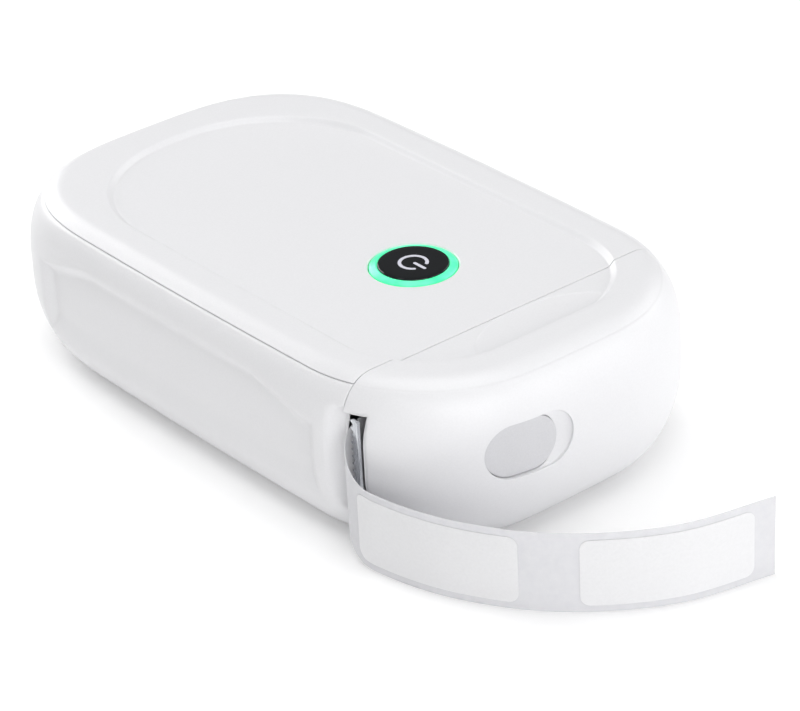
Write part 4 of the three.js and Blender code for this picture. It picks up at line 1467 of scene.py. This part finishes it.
@dataclass
class LabelStrip:
    """The liner that comes out of the slot, curls round, and carries two labels."""

    route: tuple[tuple[float, float, float], ...] = (
        (-33.9, -44.0, 9.0),
        (-36.6, -44.6, 7.2),
        (-38.5, -46.9, 3.7),
        (-38.7, -50.2, 1.0),
        (-37.7, -55.0, 0.2),
        (-33.6, -68.0, 0.1),
        (-24.1, -82.3, 0.1),
        (-8.7, -93.6, 0.1),
        (8.8, -98.4, 0.1),
    )
    wide: float = 15.0
    thick: float = 0.12
    label_long: float = 30.0
    label_wide: float = 12.4
    label_gap: float = 10.0
    label_thick: float = 0.1
    tail: float = 4.0
    corner: float = 1.7
    lift: float = 0.01
    probe: float = 0.3

    def path(self) -> np.ndarray:
        """The strip's lower edge as closely spaced points: a centripetal Catmull-Rom curve."""
        points = [np.array(p) for p in self.route]
        points = [2 * points[0] - points[1], *points, 2 * points[-1] - points[-2]]
        curve = []
        for a, b, c, d in zip(points, points[1:], points[2:], points[3:]):
            knots = [0.0]
            for p, q in ((a, b), (b, c), (c, d)):
                knots.append(knots[-1] + math.sqrt(np.linalg.norm(q - p)))
            for t in np.linspace(knots[1], knots[2], 40, endpoint=False):
                ab = a + (b - a) * (t - knots[0]) / (knots[1] - knots[0])
                bc = b + (c - b) * (t - knots[1]) / (knots[2] - knots[1])
                cd = c + (d - c) * (t - knots[2]) / (knots[3] - knots[2])
                abc = ab + (bc - ab) * (t - knots[0]) / (knots[2] - knots[0])
                bcd = bc + (cd - bc) * (t - knots[1]) / (knots[3] - knots[1])
                curve.append(abc + (bcd - abc) * (t - knots[1]) / (knots[2] - knots[1]))
        curve.append(points[-2])
        return np.array(curve)

    def place(self, along: np.ndarray, up: np.ndarray, side: float) -> np.ndarray:
        """Points on the strip.

        Args:
            along: distances from the slot.
            up: heights above the strip's lower edge.
            side: how far off the strip's middle, below 0 on its outer side.

        Returns:
            The points, in millimetres.
        """
        path = self.path()
        steps = np.concatenate([[0], np.cumsum(np.linalg.norm(np.diff(path, axis=0), axis=1))])
        spot = np.column_stack([np.interp(along, steps, path[:, k]) for k in range(3)])
        ahead, behind = (
            np.column_stack([np.interp(along + reach, steps, path[:, k]) for k in range(2)])
            for reach in (self.probe, -self.probe)
        )
        way = ahead - behind
        way /= np.linalg.norm(way, axis=1)[:, None]
        return np.column_stack(
            [spot[:, 0] - way[:, 1] * side, spot[:, 1] + way[:, 0] * side, spot[:, 2] + up]
        )

    def length(self) -> float:
        """The strip's length along its lower edge."""
        return float(np.linalg.norm(np.diff(self.path(), axis=0), axis=1).sum())

    def sheet(
        self, name: str, start: float, end: float, low: float, tall: float, corner: float,
        side: float, thick: float, columns: int,
    ) -> bpy.types.Object:
        """A thin rounded rectangle laid along the strip.

        Args:
            name: the piece's name.
            start: where it begins along the strip.
            end: where it ends.
            low: its lower edge above the strip's.
            tall: its height.
            corner: its corner radius.
            side: its middle's distance off the strip's middle.
            thick: its thickness.
            columns: points along it.

        Returns:
            The closed thin sheet.
        """
        long = end - start
        turn = np.linspace(0, np.pi / 2, 9)
        near = corner * (1 - np.cos(turn)) if corner else np.array([0.0])
        between = np.linspace(corner, long - corner, columns)
        at = np.concatenate([near[:-1], between, (long - near[:-1])[::-1]])
        short = np.clip(corner - np.minimum(at, long - at), 0, None)
        pull = corner - np.sqrt(np.clip(corner**2 - short**2, 0, None))
        middle, rows = low + tall / 2, []
        for share in np.linspace(-1, 1, 9):
            height = middle + share * (tall / 2 - np.minimum(pull, tall / 2 - 0.02))
            rows.append(self.place(start + at, height, side))
        piece = draped(name, np.array(rows))
        modify(piece, "SOLIDIFY", thickness=thick * MM, offset=0.0)
        return smooth(outward(piece), 40)

    def build(self) -> None:
        """Builds the liner and the two labels."""
        total = self.length()
        liner = self.sheet("liner_strip", 0, total, 0, self.wide, 0, 0, self.thick, 220)
        dress(liner, LINER, "cover", ["label_tape"])
        off = -(self.thick + self.label_thick) / 2 - self.lift
        low = (self.wide - self.label_wide) / 2
        for number in (1, 2):
            end = total - self.tail - (2 - number) * (self.label_long + self.label_gap)
            label = self.sheet(
                f"printed_side_label_{number}", end - self.label_long, end, low, self.label_wide,
                self.corner, off, self.label_thick, 70,
            )
            dress(label, PAPER, "cover", [f"label_{number}"])


@dataclass
class FedStrip(LabelStrip):
    """The strip inside: off the roll, past the head and out to the slot, with a label on it."""

    level: float = -44.0
    slot: float = -33.5
    bend: float = -4.0
    roll: tuple[float, float] = (8.0, -26.0)
    radius: float = 17.2
    wrapped: float = 24.0
    low: float = 9.0
    label_start: float = 4.0

    def path(self) -> np.ndarray:
        """Straight behind the head, a slight bend, and on round the roll."""
        straight = np.column_stack([np.linspace(self.slot, self.bend, 60), np.full(60, self.level)])
        turns = np.radians(np.linspace(-90, self.wrapped - 90, 40))
        round_x = self.roll[0] + self.radius * np.cos(turns)
        round_y = self.roll[1] + self.radius * np.sin(turns)
        share = np.linspace(0, 1, 30)[1:-1]
        joined_x = self.bend + (self.roll[0] - self.bend) * share
        joined_y = self.level + (round_y[0] - self.level) * ease(share)
        x = np.concatenate([straight[:, 0], joined_x, round_x])
        y = np.concatenate([straight[:, 1], joined_y, round_y])
        return np.column_stack([x, y, np.full(len(x), self.low)])

    def build(self) -> None:
        """Builds the inner liner and its label."""
        liner = self.sheet("fed_liner", 0, self.length(), 0, self.wide, 0, 0, self.thick, 160)
        off = -(self.thick + self.label_thick) / 2 - self.lift
        low = (self.wide - self.label_wide) / 2
        start = self.label_start
        label = self.sheet(
            "fed_label", start, start + self.label_long, low, self.label_wide, self.corner, off,
            self.label_thick, 60,
        )
        dress(liner, LINER, "base", ["inner_tape"])
        dress(label, PAPER, "base")


@dataclass
class Springs:
    """The coil springs: one behind the release button and two behind the head."""

    turns: float = 3.0
    steps_a_turn: int = 36

    def build(self) -> None:
        """Winds each spring in its node's place."""
        self.wound("release_spring", "release_coil", 0.3, "cover")
        self.wound("head_spring_upper", "head_coil_upper", 0.22, "base")
        self.wound("head_spring_lower", "head_coil_lower", 0.22, "base")

    def wound(self, node: str, name: str, wire: float, body: str) -> None:
        """A round wire wound along Y at an even pitch.

        Args:
            node: the node that it stands for.
            name: the piece's name.
            wire: the wire's radius.
            body: the body that it moves with.
        """
        low, high = limits(node)
        middle = (low + high) / 2
        radius = (high.x - low.x) / 2 - wire
        share = np.linspace(0, 1, int(self.turns * self.steps_a_turn))
        angle = share * self.turns * 2 * math.pi
        rise = low.y + wire + (high.y - low.y - 2 * wire) * share
        section = np.radians(np.linspace(0, 360, 13))
        rows = []
        for around in section:
            reach = radius + wire * math.cos(around)
            rows.append(
                np.column_stack([
                    middle.x + reach * np.cos(angle),
                    rise + wire * math.sin(around),
                    middle.z + reach * np.sin(angle),
                ])
            )
        coil = outward(draped(name, np.array(rows)))
        dress(smooth(coil, 50), STEEL, body, [node])


@dataclass
class RollBay:
    """The turned and wound pieces behind the cover: the roll, the platen and the drive's can."""

    soft: float = 0.15
    screw_groups: tuple[tuple[str, int, int, float, float], ...] = (
        ("case_screw", 4, -1, 1.6, 0.95),
        ("pcb_screw", 4, 1, 1.2, 0.7),
        ("motor_screw", 2, 1, 1.2, 0.6),
    )
    thread: float = 0.55
    cross: float = 0.28
    cross_deep: float = 0.55
    score_low: tuple[float, float, float] = (-1.8, -0.12, -0.15)
    score_high: tuple[float, float, float] = (1.8, 0.12, 0.5)

    def build(self) -> None:
        """Builds each turned piece at its node's own size."""
        low, high = limits("label_roll")
        x, y = (low.x + high.x) / 2, (low.y + high.y) / 2
        # Wound labels: white turns with a grey line between them. Real turns are 0.2 mm apart,
        # too fine to show, so they are drawn at 0.45 mm.
        paper = Wound("wound_labels", "#F4F4F5", "#D9D9DD", (0.5, 0.65), 0.45, 0.02, centre=(x, y))
        # Wound card: matt brown-grey with visible turns.
        board = Wound("wound_card", "#B9936A", "#A27D56", (0.8, 0.95), 0.5, 0.03, centre=(x, y))
        for row in (
            ("label_roll", "wound_label_roll", 6.6, paper, "roll", "label_paper"),
            ("roll_core", "wound_core", 5.6, board, "roll", "core_board"),
            ("platen_rubber", "platen_sleeve", 1.55, RUBBER, "platen", "platen_rubber"),
            ("platen_shaft", "platen_axle", 0.0, STEEL, "platen", "steel"),
            ("cover_hinge_pin", "hinge_pin", 0.0, STEEL, "base", "steel"),
            ("head_pivot_pin", "head_pin", 0.0, STEEL, "base", "steel"),
            ("dome_switch", "snap_dome", 0.0, STEEL, "base", "steel"),
        ):
            self.turned(*row)
        self.can()
        self.screws()

    def turned(
        self, node: str, name: str, bore: float, finish: Finish, body: str, slot: str
    ) -> None:
        """A round piece with softened edges that stands for an upright node.

        Args:
            node: the node whose place and size it takes.
            name: the piece's name.
            bore: the radius of its hole, or 0.
            finish: what it is made of.
            body: the body that it moves with.
            slot: its material slot; not used.
        """
        low, high = limits(node)
        radius = (high.x - low.x) / 2
        soft = min(self.soft, (high.z - low.z) / 4, (radius - bore) / 4)
        half = soft * (1 - math.sqrt(0.5))
        section = [(bore, low.z), (radius - soft, low.z), (radius - half, low.z + half)]
        section += [(radius, low.z + soft), (radius, high.z - soft)]
        section += [(radius - half, high.z - half), (radius - soft, high.z), (bore, high.z)]
        x, y = (low.x + high.x) / 2, (low.y + high.y) / 2
        piece = spun(name, section, x, y, 96 if radius > 3 else 48)
        dress(smooth(piece), finish, body, [node])

    def can(self) -> None:
        """The electrolytic capacitor: an aluminium can with a crimped foot and a scored top."""
        low, high = limits("capacitor")
        x, y = (low.x + high.x) / 2, (low.y + high.y) / 2
        radius = (high.x - low.x) / 2
        section = [(0, low.z), (radius, low.z), (radius, low.z + 0.7), (radius - 0.35, low.z + 1.1)]
        section += [(radius - 0.35, low.z + 1.4), (radius, low.z + 1.8), (radius, high.z - 0.4)]
        section += [(radius - 0.12, high.z - 0.12), (radius - 0.4, high.z), (0, high.z)]
        can = spun("capacitor_can", section, x, y, 64)
        for turn in (0, 90):
            bar = block("score", self.score_low, self.score_high)
            bar.data.transform(Matrix.Rotation(math.radians(turn), 4, "Z"))
            bar.data.transform(Matrix.Translation(Vector((x, y, high.z)) * MM))
            combine(can, [bar], "DIFFERENCE")
        dress(smooth(can), ALUMINIUM, "base", ["capacitor"])

    def screws(self) -> None:
        """Every screw: a domed or flat head with a cross recess, and a threaded shank."""
        for group, count, up, tall, shank in self.screw_groups:
            for number in range(1, count + 1):
                node = f"{group}_{number}"
                low, high = limits(node)
                top = high.z if up > 0 else low.z
                far = low.z if up > 0 else high.z
                head = (high.x - low.x) / 2
                section = [(0, top), (head * 0.6, top), (head * 0.9, top - up * tall * 0.3)]
                section += [(head, top - up * tall * 0.65), (head, top - up * tall)]
                section += [(shank, top - up * tall)]
                for turn in range(int((abs(far - top) - tall) / self.thread)):
                    z = top - up * (tall + self.thread * turn)
                    section += [(shank * 0.78, z - up * 0.25), (shank, z - up * 0.5)]
                section += [(shank * 0.5, far), (0, far)]
                x, y = (low.x + high.x) / 2, (low.y + high.y) / 2
                screw = spun(f"{group}_{number}_turned", section, x, y, 32)
                deep = self.cross_deep
                for wide, long in ((self.cross, head * 0.6), (head * 0.6, self.cross)):
                    low, high = (x - wide, y - long, top - deep), (x + wide, y + long, top + deep)
                    combine(screw, [block("cross", low, high)], "DIFFERENCE")
                dress(smooth(screw), ZINC, "base", [node])


@dataclass
class Inside:
    """What stays as the frame has it: each node gets the finish of its slot."""

    frame: dict

    def build(self) -> None:
        """Dresses every node that still shows."""
        finishes = {
            "steel": ZINC,
            "aluminium": ALUMINIUM,
            "gear_nylon": ACETAL,
            "frame_plastic": FRAME,
            "circuit_board": BOARD,
            "chip_plastic": CHIP,
            "label_paper": PAPER,
            "ceramic": CERAMIC,
            "cell_foil": FOIL,
            "ribbon_film": FILM,
        }
        slots = {row["node"]: row["material_slot"] for row in self.frame["record"]["subparts"]}
        for name, node in self.frame["nodes"].items():
            if node.hide_render:
                continue
            node.data.materials.clear()
            node.data.materials.append(material(finishes[slots[name]]))


# ---------- studio ----------


@dataclass
class Studio:
    """A pale floor, soft lights and the camera."""

    aim: tuple[float, float, float] = (11.62, 0.77, 0.0)
    distance: float = 612.4
    azimuth: float = -38.45
    elevation: float = 29.38
    roll: float = -2.93
    lens: float = 149.19
    sensor: float = 36.0
    clip: tuple[float, float] = (0.05, 20)
    sky: float = 0.2
    floor_size: float = 6
    panel_size: float = 0.8
    panels: tuple[tuple[str, tuple[float, float, float], float], ...] = (
        ("top_panel", (0.0, 0.0, 1.0), 5.4),
        ("front_right_panel", (0.6, -1.0, 0.3), 2.9),
        ("front_panel", (-0.3, -1.05, 0.3), 5.4),
        ("right_panel", (1.1, -0.1, 0.5), 3.0),
        ("back_panel", (0.0, 1.1, 0.5), 8.0),
        ("back_left_panel", (-0.9, 0.7, 0.6), 0.5),
        ("front_left_panel", (-0.8, -0.8, 0.5), 1.6),
    )

    def build(self) -> None:
        """Builds the floor, the lights and the camera."""
        deselect()
        bpy.ops.mesh.primitive_plane_add(size=self.floor_size)
        floor = bpy.context.object
        floor.name = "floor"
        # Painted board: dead matt and pale. Its small glow keeps the shadows light.
        paint = Finish("painted_board", "#FBFBFB", "#F9F9F9", (0.75, 0.85), 3.0, 0.001, glow=0.09)
        floor.data.materials.append(material(paint))
        world = bpy.data.worlds.new("studio_sky")
        world.use_nodes = True
        back = world.node_tree.nodes["Background"]
        back.inputs["Color"].default_value = linear("#FFFFFF")
        back.inputs["Strength"].default_value = self.sky
        bpy.context.scene.world = world
        for name, place, power in self.panels:
            self.light(name, place, power)
        self.camera()

    def light(self, name: str, place: tuple[float, float, float], power: float) -> None:
        """Adds a square area light that faces the printer."""
        lamp = bpy.data.lights.new(name, "AREA")
        lamp.shape, lamp.size, lamp.energy = "SQUARE", self.panel_size, power
        rig = bpy.data.objects.new(name, lamp)
        rig.location = place
        rig.rotation_euler = (-Vector(place)).to_track_quat("-Z", "Y").to_euler()
        bpy.context.scene.collection.objects.link(rig)

    def camera(self) -> None:
        """Adds the camera, a long lens above and to the left of the cover's end."""
        az, el, roll = (math.radians(v) for v in (self.azimuth, self.elevation, self.roll))
        back = Vector((math.sin(az) * math.cos(el), -math.cos(az) * math.cos(el), math.sin(el)))
        right = Vector((math.cos(az), math.sin(az), 0))
        up = back.cross(right)
        side = right * math.cos(roll) + up * math.sin(roll)
        head = up * math.cos(roll) - right * math.sin(roll)
        turn = Matrix((side, head, back)).transposed().to_4x4()
        data = bpy.data.cameras.new("camera")
        data.lens, data.sensor_width = self.lens, self.sensor
        data.clip_start, data.clip_end = self.clip
        eye = bpy.data.objects.new("camera", data)
        eye.matrix_world = Matrix.Translation((Vector(self.aim) + back * self.distance) * MM) @ turn
        bpy.context.scene.collection.objects.link(eye)
        bpy.context.scene.camera = eye
        bpy.context.scene.view_settings.view_transform = "Standard"


def corners(low_high: tuple[Vector, Vector]) -> list[list[float]]:
    """A box's two corners as plain lists."""
    return [list(corner) for corner in low_high]


def main() -> None:
    """Builds the printer round the frame, then the studio."""
    logging.basicConfig(level=logging.INFO, format="%(name)s: %(message)s")
    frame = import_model()
    low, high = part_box("bottom_shell")
    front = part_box("cover_body")[0]
    form = Form(
        length=(high.y - front.y) / MM,
        width=(high.x - low.x) / MM,
        height=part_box("top_shell")[1].z / MM,
    )
    Studio().build()
    hinge = Hinge()
    Case(form, hinge).build()
    Cover(form, hinge).build()
    PowerButton().build()
    LabelStrip().build()
    FedStrip().build()
    Springs().build()
    RollBay().build()
    Inside(frame).build()


if __name__ == "__main__":
    main()
